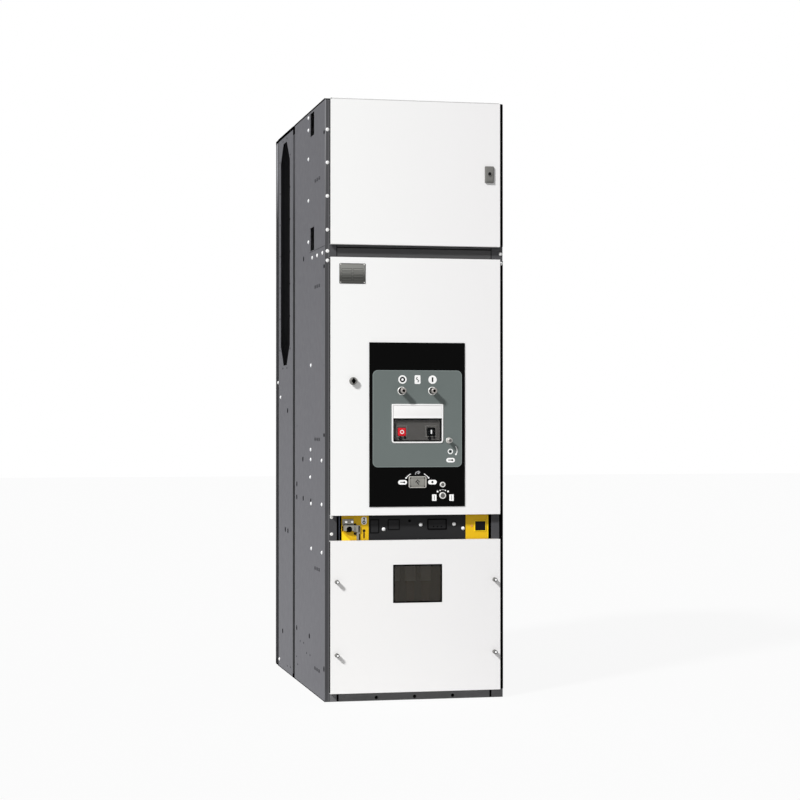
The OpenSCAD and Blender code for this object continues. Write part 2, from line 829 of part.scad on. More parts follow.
module breaker_housing() {
    color([0.4, 0.41, 0.42])
    block([panel_x - housing_w / 2, housing_y, truck_z],
          [panel_x + housing_w / 2, housing_y + housing_d, truck_z + housing_h]);
}

module breaker_fascia() {
    button_room = button_w / 2 + button_play;
    color([0.33, 0.33, 0.32])
    difference() {
        union() {
            block([panel_x - fascia_w / 2, fascia_y, fascia_z0],
                  [panel_x + fascia_w / 2, housing_y, fascia_z1]);
            block([view_hole_x0 + fascia_gap, door_in_y, view_hole_z0 + fascia_gap],
                  [view_hole_x1 - fascia_gap, fascia_y, split_z - fascia_gap]);
        }
        for (x = [off_x, on_x])
            block([x - button_room, door_in_y - eps, button_z - button_room],
                  [x + button_room, button_back_y + button_run, button_z + button_room]);
    }
}

module hinge_brackets() {
    color([0.3, 0.3, 0.31]) {
        for (z = lv_hinges)
            hinge_bracket(z);
        mirror([1, 0, 0])
        for (z = cb_hinges)
            hinge_bracket(z);
    }
}

module lv_door() {
    color([0.94, 0.94, 0.93])
    difference() {
        tray(lv_z0, lv_z1, door_back_y);
        for (z = lv_hinges)
            hinge_notch(z);
    }
}

module lv_door_knuckles() {
    color([0.5, 0.5, 0.51])
    for (z = lv_hinges)
        hinge_knuckle(z);
}

module lv_lock() {
    color([0.48, 0.48, 0.47])
    difference() {
        block([latch_x - latch_w / 2, door_y - latch_t, latch_z - latch_h / 2],
              [latch_x + latch_w / 2, door_y, latch_z + latch_h / 2]);
        rod_y(latch_x, latch_z + recess_up, recess_r, door_y - latch_t - eps, door_y - latch_t + recess_d);
    }
}

module cb_door() {
    color([0.94, 0.94, 0.93])
    difference() {
        tray(cb_z0, cb_z1, door_back_y);
        panel_cuts(door_y - eps, door_in_y + eps);
        mirror([1, 0, 0])
        for (z = cb_hinges)
            hinge_notch(z);
    }
}

module cb_door_knuckles() {
    color([0.5, 0.5, 0.51])
    mirror([1, 0, 0])
    for (z = cb_hinges)
        hinge_knuckle(z);
}

module cb_lock() {
    color([0.6, 0.6, 0.6])
    difference() {
        rod_y(lock_x, lock_z, lock_r, door_y - lock_t, door_y);
        block([lock_x - lock_hole_w / 2, door_y - lock_t - eps, lock_z - lock_hole_w / 2],
              [lock_x + lock_hole_w / 2, door_y - lock_t + lock_hole_d, lock_z + lock_hole_w / 2]);
    }
}

module control_panel() {
    color([0.03, 0.03, 0.03])
    difference() {
        block([panel_x - panel_w / 2, panel_y, panel_z0],
              [panel_x + panel_w / 2, door_y, panel_z0 + panel_h]);
        panel_cuts(panel_y - eps, door_y + eps);
    }
}

module mimic_plate() {
    color([0.41, 0.44, 0.43])
    difference() {
        round_plate(panel_x, mimic_z0 + mimic_h / 2, mimic_w, mimic_h, mimic_r, mimic_y, panel_y);
        panel_cuts(mimic_y - eps, panel_y + eps);
    }
}

module viewing_frame() {
    color([0.93, 0.93, 0.92])
    difference() {
        union() {
            round_plate(panel_x, view_z, view_w, view_h, view_r, flange_y, mimic_y);
            block([view_hole_x0 - view_sleeve, mimic_y, view_hole_z0 - view_sleeve],
                  [view_hole_x1 + view_sleeve, door_in_y, view_hole_z1 + view_sleeve]);
        }
        block([view_hole_x0, flange_y - eps, view_hole_z0], [view_hole_x1, door_in_y + eps, view_hole_z1]);
    }
}

module viewing_glass() {
    color([0.8, 0.85, 0.85, 0.3])
    block([view_hole_x0, glass_y, view_hole_z0], [view_hole_x1, glass_back_y, view_hole_z1]);
}

module window_plate() {
    color([0.93, 0.92, 0.92])
    block([view_hole_x0, glass_back_y, split_z], [view_hole_x1, glass_back_y + view_glass_t, view_hole_z1]);
}

module racking_cover() {
    color([0.75, 0.76, 0.76])
    block([panel_x - racking_w / 2, panel_y - racking_t, panel_z0 + racking_up],
          [panel_x + racking_w / 2, panel_y, panel_z0 + racking_up + racking_h]);
}

module panel_locks() {
    color([0.6, 0.6, 0.6]) {
        rod_y(key_x, panel_z0 + key_high, key_r, panel_y - key_out, panel_y);
        rod_y(key_x, panel_z0 + key_low, low_key_r, panel_y - key_out, panel_y);
        rod_y(spindle_x, mimic_z0 + spindle_up, spindle_r, mimic_y - spindle_out, mimic_y);
    }
}

module plunger_bushes() {
    color([0.75, 0.74, 0.73])
    for (x = [open_x, close_x])
        difference() {
            union() {
                rod_y(x, plunger_z, bush_r, flange_y, mimic_y);
                rod_y(x, plunger_z, plunger_r + bush_wall, mimic_y, bush_back_y);
            }
            rod_y(x, plunger_z, plunger_r + plunger_play, flange_y - eps, bush_back_y + eps);
        }
}

module plunger(x) {
    rod_y(x, plunger_z, plunger_r, plunger_front_y, plunger_back_y);
    rod_y(x, plunger_z, plunger_r + collar_w, collar_y, plunger_back_y);
}

module open_plunger() {
    color([0.72, 0.7, 0.69])
    plunger(open_x);
}

module close_plunger() {
    color([0.72, 0.7, 0.69])
    plunger(close_x);
}

module push_button(x) {
    block([x - button_w / 2, door_in_y - button_out, button_z - button_w / 2],
          [x + button_w / 2, button_back_y, button_z + button_w / 2]);
}

module off_button() {
    color([0.8, 0.1, 0.12])
    push_button(off_x);
}

module on_button() {
    color([0.05, 0.05, 0.05])
    push_button(on_x);
}

front_plinth();
base_sills();
gland_plate();
front_posts();
front_sides();
rear_sides();
front_rails();
floors();
lv_back();
partitions();
joint_spacers();
roof_plates();
relief_flaps();
rear_corner_strips();
rear_covers();
interlock_panel();
interlock_plates();
earthing_bracket();
indicator_window();
cable_cover();
cable_window();
cover_knobs();
cable_insulators();
cable_bars();
breaker_truck();
breaker_housing();
breaker_fascia();
hinge_brackets();
lv_door();
lv_door_knuckles();
lv_lock();
cb_door();
cb_door_knuckles();
cb_lock();
control_panel();
mimic_plate();
viewing_frame();
viewing_glass();
window_plate();
racking_cover();
panel_locks();
plunger_bushes();
open_plunger();
close_plunger();
off_button();
on_button();
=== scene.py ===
import json
import math
from functools import partial

import bpy
import numpy as np
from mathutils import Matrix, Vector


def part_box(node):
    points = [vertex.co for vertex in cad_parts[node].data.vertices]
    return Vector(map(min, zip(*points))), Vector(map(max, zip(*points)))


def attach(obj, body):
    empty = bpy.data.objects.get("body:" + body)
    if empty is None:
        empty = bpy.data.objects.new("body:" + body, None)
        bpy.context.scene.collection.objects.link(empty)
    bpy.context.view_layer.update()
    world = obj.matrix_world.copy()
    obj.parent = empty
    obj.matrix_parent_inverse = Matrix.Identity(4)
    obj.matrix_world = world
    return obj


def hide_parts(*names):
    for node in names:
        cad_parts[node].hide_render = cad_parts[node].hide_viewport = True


# Looks of an air-insulated switchgear cubicle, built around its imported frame.
# Lengths are metres. The measures of details are millimetres and pass through MM.

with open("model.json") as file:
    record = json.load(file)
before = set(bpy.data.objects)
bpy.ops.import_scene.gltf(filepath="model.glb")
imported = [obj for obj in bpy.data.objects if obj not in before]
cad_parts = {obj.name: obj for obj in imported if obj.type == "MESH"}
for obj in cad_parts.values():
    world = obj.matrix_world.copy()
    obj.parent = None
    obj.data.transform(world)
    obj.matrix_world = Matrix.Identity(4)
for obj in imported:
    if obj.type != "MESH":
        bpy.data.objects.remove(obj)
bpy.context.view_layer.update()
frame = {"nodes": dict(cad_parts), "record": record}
nodes = frame["nodes"]

MM = 0.001

# Directions of a flat side of the cubicle: across, up and out
FRONT = np.array([[1, 0, 0], [0, 0, 1], [0, -1, 0]], float)
BACK = np.array([[-1, 0, 0], [0, 0, 1], [0, 1, 0]], float)
LEFT = np.array([[0, -1, 0], [0, 0, 1], [-1, 0, 0]], float)
RIGHT = np.array([[0, 1, 0], [0, 0, 1], [1, 0, 0]], float)
TOP = np.array([[1, 0, 0], [0, 1, 0], [0, 0, 1]], float)


# Places on the frame


def span(node):
    """Lowest and highest corner of a frame node."""
    low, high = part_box(node)
    return np.array(low), np.array(high)


def measure(node, plane):
    """Middle of a frame node on a front plane, then its width, depth and height in millimetres."""
    low, high = span(node)
    spot = (low + high) / 2
    spot[1] = plane
    return (spot, *(high - low) / MM)


def reach(node, plane):
    """How far a frame node stands out before a front plane and goes in behind it, in millimetres."""
    low, high = span(node)
    return (plane - low[1]) / MM, (high[1] - plane) / MM


def on_front(plane, *places):
    """Spots (x, z) in millimetres on a plane that faces the front."""
    return np.array([[x * MM, plane, z * MM] for x, z in places])


def on_side(edge, *places):
    """Spots (y, z) in millimetres on the side panel at that edge."""
    return np.array([[edge, y * MM, z * MM] for y, z in places])


def grid(centre, across, up):
    """Spots of a grid about a centre."""
    return [(centre[0] + x, centre[1] + z) for x in across for z in up]


# Planes that the details sit on
DOOR_Y = span("cb_door")[0][1]
FRAME_Y = span("front_posts")[0][1]
PANEL_Y = span("control_panel")[0][1]
MIMIC_Y = span("mimic_plate")[0][1]
BAND_Y = span("interlock_panel")[0][1]
MARK_Y = BAND_Y - 2 * MM
FASCIA_Y = span("breaker_fascia")[0][1]
WINDOW_Y = span("viewing_glass")[0][1]
REAR_Y = span("rear_covers")[1][1]
ROOF_Z = span("roof_plates")[1][2]
HALF_W = span("front_sides")[1][0]
DOOR_LEFT = span("cb_door")[0][0]


# Surfaces


def inset(outline, amounts):
    """Outline moved inwards by each amount, along the mitre between the two sides that meet at a corner."""
    side = np.roll(outline, -1, 0) - outline
    normal = np.stack([-side[:, 1], side[:, 0]], -1) / np.linalg.norm(side, axis=1, keepdims=True)
    before = np.roll(normal, 1, 0)
    mitre = (before + normal) / (1 + np.sum(before * normal, 1, keepdims=True))
    return outline + np.asarray(amounts, float)[:, None, None] * mitre


def raised(flat, levels):
    """Flat rings lifted to their levels: the level becomes the third coordinate of every point."""
    height = np.broadcast_to(np.asarray(levels, float)[:, None, None], flat.shape[:2] + (1,))
    return np.concatenate([flat, height], -1)


def skin(rings, loop=False):
    """Quads from each ring of points to the next; a flat face closes both ends, unless the rings loop."""
    count, around = rings.shape[:2]
    here = np.arange(around)
    after = np.roll(here, -1)
    start = np.arange(count if loop else count - 1)[:, None] * around
    above = (start + around) % (count * around)
    quads = np.stack([start + here, start + after, above + after, above + here], -1).reshape(-1, 4)
    ends = [] if loop else [np.array([here[::-1], here + (count - 1) * around])]
    return rings.reshape(-1, 3), [quads] + ends


def join(*shapes):
    """Several skins as one: their points in a row, with the corner numbers moved along."""
    starts = np.cumsum([0] + [len(points) for points, _ in shapes])
    faces = [group + start for (_, groups), start in zip(shapes, starts) for group in groups]
    return np.concatenate([points for points, _ in shapes]), faces


def scatter(shape, spots, facing=FRONT):
    """A skin drawn about its own origin, turned to face outwards and set down at every spot."""
    points, groups = shape
    spots = np.atleast_2d(np.asarray(spots, float))
    shift = np.arange(len(spots))[:, None, None] * len(points)
    faces = [(group[None] + shift).reshape(-1, group.shape[1]) for group in groups]
    return (spots[:, None] + points @ facing).reshape(-1, 3), faces


def front(shape, plane, *places):
    """A skin set down at spots (x, z) of a plane that faces the front."""
    return scatter(shape, on_front(plane, *places))


def set_sides(shape, *places, sink=0.0):
    """A skin set down at the same spots (y, z) of both sides, sunk below the panels by that much."""
    edge = HALF_W - sink * MM
    return join(scatter(shape, on_side(-edge, *places), LEFT), scatter(shape, on_side(edge, *places), RIGHT))


def moved(shape, across=0.0, up=0.0, out=0.0):
    """A skin shifted in its own directions, in millimetres."""
    points, groups = shape
    return points + np.array([across, up, out]) * MM, groups


def circle(radius, sides=32):
    """Points at even turns on a circle, in millimetres."""
    turn = np.linspace(0, 2 * np.pi, sides, endpoint=False)
    return radius * MM * np.stack([np.cos(turn), np.sin(turn)], -1)


def round_rect(width, height, radius, low_radius=None, steps=6):
    """Rectangle with a quarter circle in each corner, in millimetres; the lower corners may differ."""
    low = radius if low_radius is None else low_radius
    turn = np.linspace(0, np.pi / 2, steps) + np.arange(4)[:, None] * np.pi / 2
    sign = np.array([[1, 1], [-1, 1], [-1, -1], [1, -1]])
    bend = np.array([radius, radius, low, low])[:, None]
    centre = sign * (np.array([width / 2, height / 2]) - bend)
    arc = bend[..., None] * np.stack([np.cos(turn), np.sin(turn)], -1)
    return MM * (centre[:, None] + arc).reshape(-1, 2)


def ribbon(path, width):
    """Outline of a line of even width: half of it to the right on the way out, to the left on the way back."""
    path = np.asarray(path, float) * MM
    along = np.gradient(path, axis=0)
    along /= np.linalg.norm(along, axis=1, keepdims=True)
    aside = np.stack([-along[:, 1], along[:, 0]], -1) * width * MM / 2
    return np.concatenate([path - aside, (path + aside)[::-1]])


def arc_path(radius, start, end, steps=12):
    """Points on an arc about the origin, from one angle to another in degrees."""
    turn = np.radians(np.linspace(start, end, steps))
    return radius * np.stack([np.cos(turn), np.sin(turn)], -1)


def edge_curve(height, edge, steps=4):
    """Draw-in and level along a quarter circle of radius edge that ends at the height."""
    turn = np.linspace(0, np.pi / 2, steps) if edge else np.zeros(1)
    return edge * (1 - np.cos(turn)) * MM, (height - edge + edge * np.sin(turn)) * MM


def slab(outline, height, edge=0.0):
    """Outline carried outwards to the height, drawing in along a quarter circle at its front edge."""
    draw, level = edge_curve(height, edge)
    flat = inset(outline, np.concatenate([[0], draw]))
    return skin(raised(flat, np.concatenate([[0], level])))


def border(outer, inner, height, edge=0.0, sink=0.0):
    """Frame between two outlines: up the outer wall, over a round edge, across, and down the inner wall."""
    draw, level = edge_curve(height, edge)
    rise = np.concatenate([[-sink * MM], level])
    draw = np.concatenate([[0], draw])
    outside = raised(inset(outer, draw), rise)
    inside = raised(inset(inner, -draw), rise)[::-1]
    return skin(np.concatenate([outside, inside]), loop=True)


def plate(width, height, radius, out, edge=0.0):
    """Slab over a rectangle with round corners."""
    return slab(round_rect(width, height, radius), out, edge)


def disc(radius, out, edge=0.0, sides=32):
    """Slab over a circle."""
    return slab(circle(radius, sides), out, edge)


def stroke(path, width, out):
    """Slab over a line of even width."""
    return slab(ribbon(path, width), out)


def rim(width, height, radius, wall, hole_radius, out, edge=0.0, sink=0.0):
    """Border of even wall inside a rectangle with round corners."""
    hole = round_rect(width - 2 * wall, height - 2 * wall, hole_radius)
    return border(round_rect(width, height, radius), hole, out, edge, sink)


def ring(outer, inner, out, edge=0.0, sides=32):
    """Border between two circles."""
    return border(circle(outer, sides), circle(inner, sides), out, edge)


def turned(profile, sides=32, teeth=0, depth=0.0, loop=False):
    """Radius and height pairs spun about the outward axis; teeth press a cosine that deep into the radius."""
    profile = np.asarray(profile, float)
    turn = np.linspace(0, 2 * np.pi, sides, endpoint=False)
    cut = depth * (np.cos(teeth * turn) - 1) / 2 if teeth else 0 * turn
    radius = (profile[:, :1] + cut * (profile[:, :1] > 2 * depth)) * MM
    flat = radius[..., None] * np.stack([np.cos(turn), np.sin(turn)], -1)
    return skin(raised(flat, profile[:, 1] * MM), loop)


def screw_head(radius, height):
    """Low dome over a circle, a cosine of the radius, with a cross sunk where four arms meet in the middle."""
    share = np.array([1.0, 1.0, 0.9, 0.7, 0.5, 0.3, 0.12])
    turn = np.linspace(0, 2 * np.pi, 16, endpoint=False)
    dome = height * (0.35 + 0.65 * np.cos(share * np.pi / 2))
    dome[0] = 0
    arm = (np.cos(4 * turn) > 0.5)[None] & (share < 0.6)[:, None]
    level = (dome[:, None] - 0.45 * height * arm) * MM
    flat = share[:, None, None] * radius * MM * np.stack([np.cos(turn), np.sin(turn)], -1)
    return skin(np.concatenate([flat, level[..., None]], -1))


def hole_mark(radius):
    """Pressed rim of a small hole: a low ring that falls to a floor just above the sheet."""
    return turned([[radius + 1.2, 0], [radius + 0.8, 0.5], [radius, 0.5], [radius - 0.2, 0.3]], 16)


# Finishes


def linear(code):
    """Screen colour code as linear light."""
    screen = np.array([int(code[i:i + 2], 16) for i in (1, 3, 5)]) / 255
    return np.where(screen <= 0.04045, screen / 12.92, ((screen + 0.055) / 1.055) ** 2.4)


# All finishes by their names
finishes = {}


def fill(node, **values):
    """Gives values to the sockets of a shader node."""
    for socket, value in values.items():
        node.inputs[socket.replace("_", " ")].default_value = value
    return node


def add_node(tree, kind, **values):
    """A new shader node with values for its sockets."""
    return fill(tree.nodes.new("ShaderNode" + kind), **values)


class Finish:
    """A material under construction, entered among the finishes: its tree, its shader and its patterns."""

    def __init__(self, name, rough, metal=0.0, **sockets):
        finishes[name] = bpy.data.materials.new(name)
        finishes[name].use_nodes = True
        self.tree = finishes[name].node_tree
        self.shader = fill(self.tree.nodes["Principled BSDF"], Roughness=rough, Metallic=metal, **sockets)

    def node(self, kind, **values):
        """A new node of this material."""
        return add_node(self.tree, kind, **values)

    def link(self, source, target):
        """Feeds one socket from another."""
        self.tree.links.new(source, target)

    def place(self, stretch=(1, 1, 1)):
        """The piece's own coordinates, drawn out along the axes where stretch is small."""
        mapping = self.node("Mapping", Scale=stretch)
        self.link(self.node("TexCoord").outputs["Object"], mapping.inputs["Vector"])
        return mapping.outputs["Vector"]

    def noise(self, scale, detail=2.0, stretch=(1, 1, 1)):
        """Soft noise with about that many waves a metre."""
        pattern = self.node("TexNoise", Scale=scale, Detail=detail)
        self.link(self.place(stretch), pattern.inputs["Vector"])
        return pattern.outputs["Fac"]

    def cells(self, scale):
        """Random grey for each crystal of a coating."""
        pattern = self.node("TexVoronoi", Scale=scale)
        self.link(self.place(), pattern.inputs["Vector"])
        return pattern.outputs["Color"]

    def rise(self, low, high, axis="Z"):
        """Share of the way from one place on an axis to another, upwards unless another axis is given."""
        split = self.node("SeparateXYZ")
        self.link(self.place(), split.inputs["Vector"])
        return self.spread(split.outputs[axis], 0.0, 1.0, low, high)

    def spread(self, source, low, high, start=0.3, end=0.7):
        """A pattern between start and end, spread to low and high."""
        scaled = self.node("MapRange", From_Min=start, From_Max=end, To_Min=low, To_Max=high)
        self.link(source, scaled.inputs["Value"])
        return scaled.outputs["Result"]

    def tint(self, source, dark, light):
        """Colour that follows a pattern from one tone to another."""
        ramp = self.node("ValToRGB")
        for stop, position, tone in zip(ramp.color_ramp.elements, (0.3, 0.7), (dark, light)):
            stop.position = position
            stop.color = (*tone, 1.0)
        self.link(source, ramp.inputs["Fac"])
        self.link(ramp.outputs["Color"], self.shader.inputs["Base Color"])

    def drift(self, source, code, darker, lighter):
        """Colour that follows a pattern about one tone, a share darker and lighter."""
        tone = linear(code)
        self.tint(source, tone * (1 - darker), np.minimum(tone * (1 + lighter), 1))

    def gloss(self, source, low, high):
        """Roughness that follows a pattern."""
        self.link(self.spread(source, low, high), self.shader.inputs["Roughness"])

    def relief(self, source, depth, strength):
        """A pattern as fine heights, depth in millimetres."""
        bump = self.node("Bump", Strength=strength, Distance=depth * MM)
        self.link(source, bump.inputs["Height"])
        self.link(bump.outputs["Normal"], self.shader.inputs["Normal"])


def powder_coat(name, code, rough=0.5, drift=0.03, shine=0.2):
    """Baked powder: hardly any drift of colour, uneven gloss, and orange peel a millimetre across."""
    finish = Finish(name, rough, Specular_IOR_Level=shine)
    finish.drift(finish.noise(4, 3), code, drift, drift)
    finish.gloss(finish.noise(35), rough - 0.06, rough + 0.06)
    finish.relief(finish.noise(750, 1), 0.06, 0.25)


def painted_light_coat(name, low_code, high_code, low=1.6, high=2.4, rough=0.6, shine=0.03, axis="Z"):
    """Powder coat whose tone changes between two places on an axis, as painted light and shade, with uneven
    gloss and fine peel.
    """
    finish = Finish(name, rough, Specular_IOR_Level=shine)
    finish.tint(finish.rise(low, high, axis), linear(low_code), linear(high_code))
    finish.gloss(finish.noise(35), rough - 0.05, rough + 0.05)
    finish.relief(finish.noise(750, 1), 0.06, 0.25)


def coated_sheet(name, code, rough=0.42):
    """Aluminium-zinc sheet: crystals of slightly different grey, with a dull even shine."""
    finish = Finish(name, rough, 0.75)
    finish.drift(finish.cells(140), code, 0.14, 0.1)
    finish.gloss(finish.noise(60), rough - 0.08, rough + 0.1)
    finish.relief(finish.noise(400, 1), 0.03, 0.2)


def plated(name, code, rough=0.32, stretch=(1, 1, 1), metal=0.85):
    """Plated metal: fine lines of wear that stretch may draw out along the brushing."""
    finish = Finish(name, rough, metal)
    finish.drift(finish.noise(300, 4, stretch), code, 0.12, 0.08)
    finish.gloss(finish.noise(180, 3, stretch), rough - 0.08, rough + 0.1)
    finish.relief(finish.noise(900, 2, stretch), 0.03, 0.25)


def moulded(name, code, rough=0.4, drift=0.04, shine=0.25):
    """Moulded plastic: an even colour with the fine grain of the tool."""
    finish = Finish(name, rough, Specular_IOR_Level=shine)
    finish.drift(finish.noise(30, 3), code, drift, drift)
    finish.gloss(finish.noise(120), rough - 0.05, rough + 0.05)
    finish.relief(finish.noise(1500, 1), 0.03, 0.2)


def pane(name, code, alpha, rough=0.06):
    """Window pane: a see-through tinted sheet with faint wipe marks in its gloss."""
    finish = Finish(name, rough, Alpha=alpha)
    finish.drift(finish.noise(8, 3), code, 0.1, 0.1)
    finish.gloss(finish.noise(25, 4), rough, rough + 0.06)


def etched_plate(name, low_code, high_code, low, high):
    """Etched metal plate, darker at its foot and lighter at its head, with long brush lines."""
    finish = Finish(name, 0.38, 0.6)
    brushing = (0.1, 1, 1)
    finish.tint(finish.rise(low, high), linear(low_code), linear(high_code))
    finish.gloss(finish.noise(250, 3, brushing), 0.3, 0.5)
    finish.relief(finish.noise(800, 2, brushing), 0.02, 0.2)


# Brushing along the height, and ramps of painted light and shade given by both ends (with roughness, shine and
# axis)
UPRIGHT_BRUSH = (1, 1, 0.08)
TALL_LIGHT_RAMP = (-0.9, 2.9)
DOOR_LIGHT_RAMP = (-0.7, 0.7, 0.42, 0.2, "X")

# Finishes of the slots
# Plinth: lighter than its own tone, painted light against the cable cover's shadow
powder_coat("plinth_paint", "#6a6a6b", shine=0.1)
powder_coat("sill_paint", "#454547")
coated_sheet("inner_metal", "#6f7173")
# Posts: darker towards the bottom and lighter towards the top, painted light and shade
painted_light_coat("post_paint", "#4b4b4d", "#565658", 0.9, 2.6)
# Side panels: lighter towards the bottom, painted light from the floor
painted_light_coat("side_paint", "#6e6e72", "#626266", *TALL_LIGHT_RAMP)
powder_coat("joint_paint", "#0c0c0d", 0.6, shine=0.05)
# Rear corner strips: darker than the side panels, painted shade of their recess
powder_coat("strip_paint", "#343436", shine=0.1)
powder_coat("band_paint", "#29292a", 0.5, shine=0.06)
powder_coat("yellow_paint", "#e0b416", 0.4)
plated("zinc", "#d2d0cd")
moulded("black_plastic", "#0e0e0f", 0.45, shine=0.1)
moulded("latch_grey", "#73726f", 0.45)
# Doors: lighter at the left and darker to the right, painted falloff of the light
painted_light_coat("white_paint", "#f3f3f2", "#ecebeb", *DOOR_LIGHT_RAMP)
pane("smoked_glass", "#2b261c", 0.5)
moulded("resin", "#b4aea6", 0.4)
moulded("bar_sleeve", "#96735f", 0.45)
powder_coat("breaker_paint", "#6a6c6e")
moulded("fascia_plastic", "#565452", 0.5, shine=0.08)
moulded("white_plastic", "#efeeed", 0.4, 0.01)
powder_coat("panel_black", "#040404", 0.4, shine=0.04)
powder_coat("mimic_grey", "#676f6d", 0.48)
pane("clear_glass", "#30383a", 0.03)
plated("cover_metal", "#b3b1ab", 0.4, UPRIGHT_BRUSH)
moulded("red_plastic", "#dc212c", 0.35, shine=0.1)
moulded("button_black", "#070708", 0.3, shine=0.05)

# Frame nodes with a tone of their own
# Beam: lighter than its own tone, painted light against the instrument door's shadow
powder_coat("beam_paint", "#505051", shine=0.06)
powder_coat("hinge_paint", "#4c4c4e", shine=0.06)
plated("bracket_zinc", "#8f8d86", 0.45, metal=0.4)
powder_coat("roof_paint", "#3a3a3c", shine=0.03)
# Cable cover: darker than the doors, painted shade against the floor's light on it, and darker to the right as
# painted falloff of the light
painted_light_coat("cover_paint", "#efeeed", "#e8e7e7", *DOOR_LIGHT_RAMP)

# Tones of details within a slot
plated("bright_screw", "#fafaf9", 0.35, metal=0.0)
plated("bright_zinc", "#efeeeb", 0.35, metal=0.3)
plated("spindle_metal", "#bab8b4", 0.4, metal=0.3)
plated("cap_metal", "#9b9692", 0.35, metal=0.3)
# Darker copy of the lid's metal for its panel: painted shade beside the lighter rim
plated("lid_shaded_metal", "#8b8a84", 0.45, UPRIGHT_BRUSH, 0.5)
plated("lock_metal", "#7a7976", 0.4, metal=0.5)
plated("blue_steel", "#4a4f5c", 0.4)
plated("stem_dark", "#33312f", 0.4, metal=0.4)
moulded("white_print", "#f6f6f5", 0.5, 0.01)
moulded("faint_print", "#a9a9ab", 0.5)
moulded("grey_print", "#7c8583", 0.5)
moulded("pale_print", "#6e7070", 0.5)
# Dark print, also used for painted shade along pressed edges
moulded("dark_print_and_shade", "#0d0e0e", 0.5, shine=0.05)
moulded("boot_grey", "#e6e2da", 0.4)
moulded("bezel_grey", "#6e6c69", 0.5, shine=0.08)
moulded("core_grey", "#5d5c5a", 0.4)
moulded("socket_grey", "#1e1e1f", 0.5, shine=0.1)
moulded("black_rubber", "#080808", 0.7, shine=0.05)
# Black of holes, and of painted shade and shadow in gaps, joints, recesses and beside the doors
moulded("hole_and_shade_black", "#050505", 0.9, shine=0.0)
moulded("amber_lens", "#d89a4a", 0.3)
moulded("brown_slot", "#4a3006", 0.6)
# Lighter copy of the yellow paint: painted highlight on the plates, also given to the indicator rim
powder_coat("lit_yellow", "#f6d21a", 0.35)
powder_coat("pale_edge", "#c9c9c8", 0.5, 0.012)
powder_coat("slot_shade", "#464649", 0.6, shine=0.02)
# Dark sheet in the joint gap, lighter towards the top: painted shade of the recess
painted_light_coat("seam_shade", "#111113", "#38383b")
# Rear strip lines: painted shade, lighter towards the top as painted highlight
painted_light_coat("strip_highlight", "#1f1f21", "#94949a", 1.8, 2.3)
painted_light_coat("strip_edge_shade", "#1e1e20", "#464648")
# Painted highlights on the bends and the fold at the left front corner
painted_light_coat("post_bend_highlight", "#505052", "#909093", 1.4, 2.5)
painted_light_coat("post_fold_highlight", "#5e5e60", "#646466", *TALL_LIGHT_RAMP)
painted_light_coat("side_bend_highlight", "#78787c", "#6c6c70", *TALL_LIGHT_RAMP)
# Left side faces of the doors: painted shade; the hinge corner of the top line takes it too
painted_light_coat("door_edge", "#3a3a3b", "#404041", *TALL_LIGHT_RAMP)


# Frame nodes that are shown as they are

WELD_GAP = 0.01 * MM
FLAT_ANGLE = math.radians(1)
BEVEL = {"width": 0.7 * MM, "segments": 2, "limit_method": "ANGLE", "angle_limit": math.radians(40)}
NODE_TONES = {"front_rails": "beam_paint", "hinge_brackets": "hinge_paint", "earthing_bracket": "bracket_zinc",
              "roof_plates": "roof_paint", "cable_cover": "cover_paint"}


def modify(thing, kind, **settings):
    """A new modifier with its settings."""
    modifier = thing.modifiers.new(kind.lower(), kind)
    for name, value in settings.items():
        setattr(modifier, name, value)


def dress(thing, finish):
    """Gives a frame node its finish, and small round edges over its merged faces."""
    for place in thing.material_slots:
        place.material = finish
    modify(thing, "WELD", merge_threshold=WELD_GAP)
    modify(thing, "DECIMATE", decimate_type="DISSOLVE", angle_limit=FLAT_ANGLE)
    modify(thing, "BEVEL", **BEVEL, harden_normals=True)


for part in frame["record"]["subparts"]:
    dress(nodes[part["node"]], finishes[NODE_TONES.get(part["node"], part["material_slot"])])


CREASE = math.radians(38)


def piece(body, name, slot, *shapes, tone=None, stands_for=()):
    """Puts skins into one mesh that rides on a body, in the finish of its slot or in a tone of it."""
    points, faces = join(*shapes)
    mesh = bpy.data.meshes.new(name)
    mesh.from_pydata(points.tolist(), [], [face for group in faces for face in group.tolist()])
    mesh.polygons.foreach_set("use_smooth", np.ones(len(mesh.polygons), bool))
    mesh.set_sharp_from_angle(angle=CREASE)
    mesh.materials.append(finishes[tone or slot])
    thing = bpy.data.objects.new(name, mesh)
    bpy.context.scene.collection.objects.link(thing)
    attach(thing, body)
    if stands_for:
        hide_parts(*stands_for)


on_cabinet = partial(piece, "cabinet")
on_door = partial(piece, "breaker_door")


# Instrument door: latch housing with a key barrel

BARREL_UP = 2
latch_spot, latch_w, latch_t, latch_h = measure("lv_lock", DOOR_Y)
barrel_out = latch_t - 2.5
latch = join(
    plate(latch_w, latch_h, 2.5, latch_t - 4.5, 1.6),
    plate(latch_w - 6, latch_h - 7, 2, barrel_out, 1.0),
    moved(plate(latch_w - 11, 3, 1.4, 1.2, 0.5), 0, 9 - latch_h / 2, latch_t - 2.6),
    moved(turned([[8.6, 0], [8.6, 2.0], [8.0, 2.5], [6.8, 2.5], [6.4, 0.3]]), 0, BARREL_UP, barrel_out),
)
piece("instrument_door", "latch_housing", "latch_grey", scatter(latch, latch_spot), stands_for=["lv_lock"])
keyway = join(
    moved(disc(6.3, 0.5), 0, BARREL_UP, barrel_out),
    moved(disc(2, 1.6, 0.4, 20), 0, BARREL_UP + 1.4, latch_t - 2),
)
piece("instrument_door", "latch_keyway", "black_plastic", scatter(keyway, latch_spot))


# Breaker door: lock, nameplate and control panel

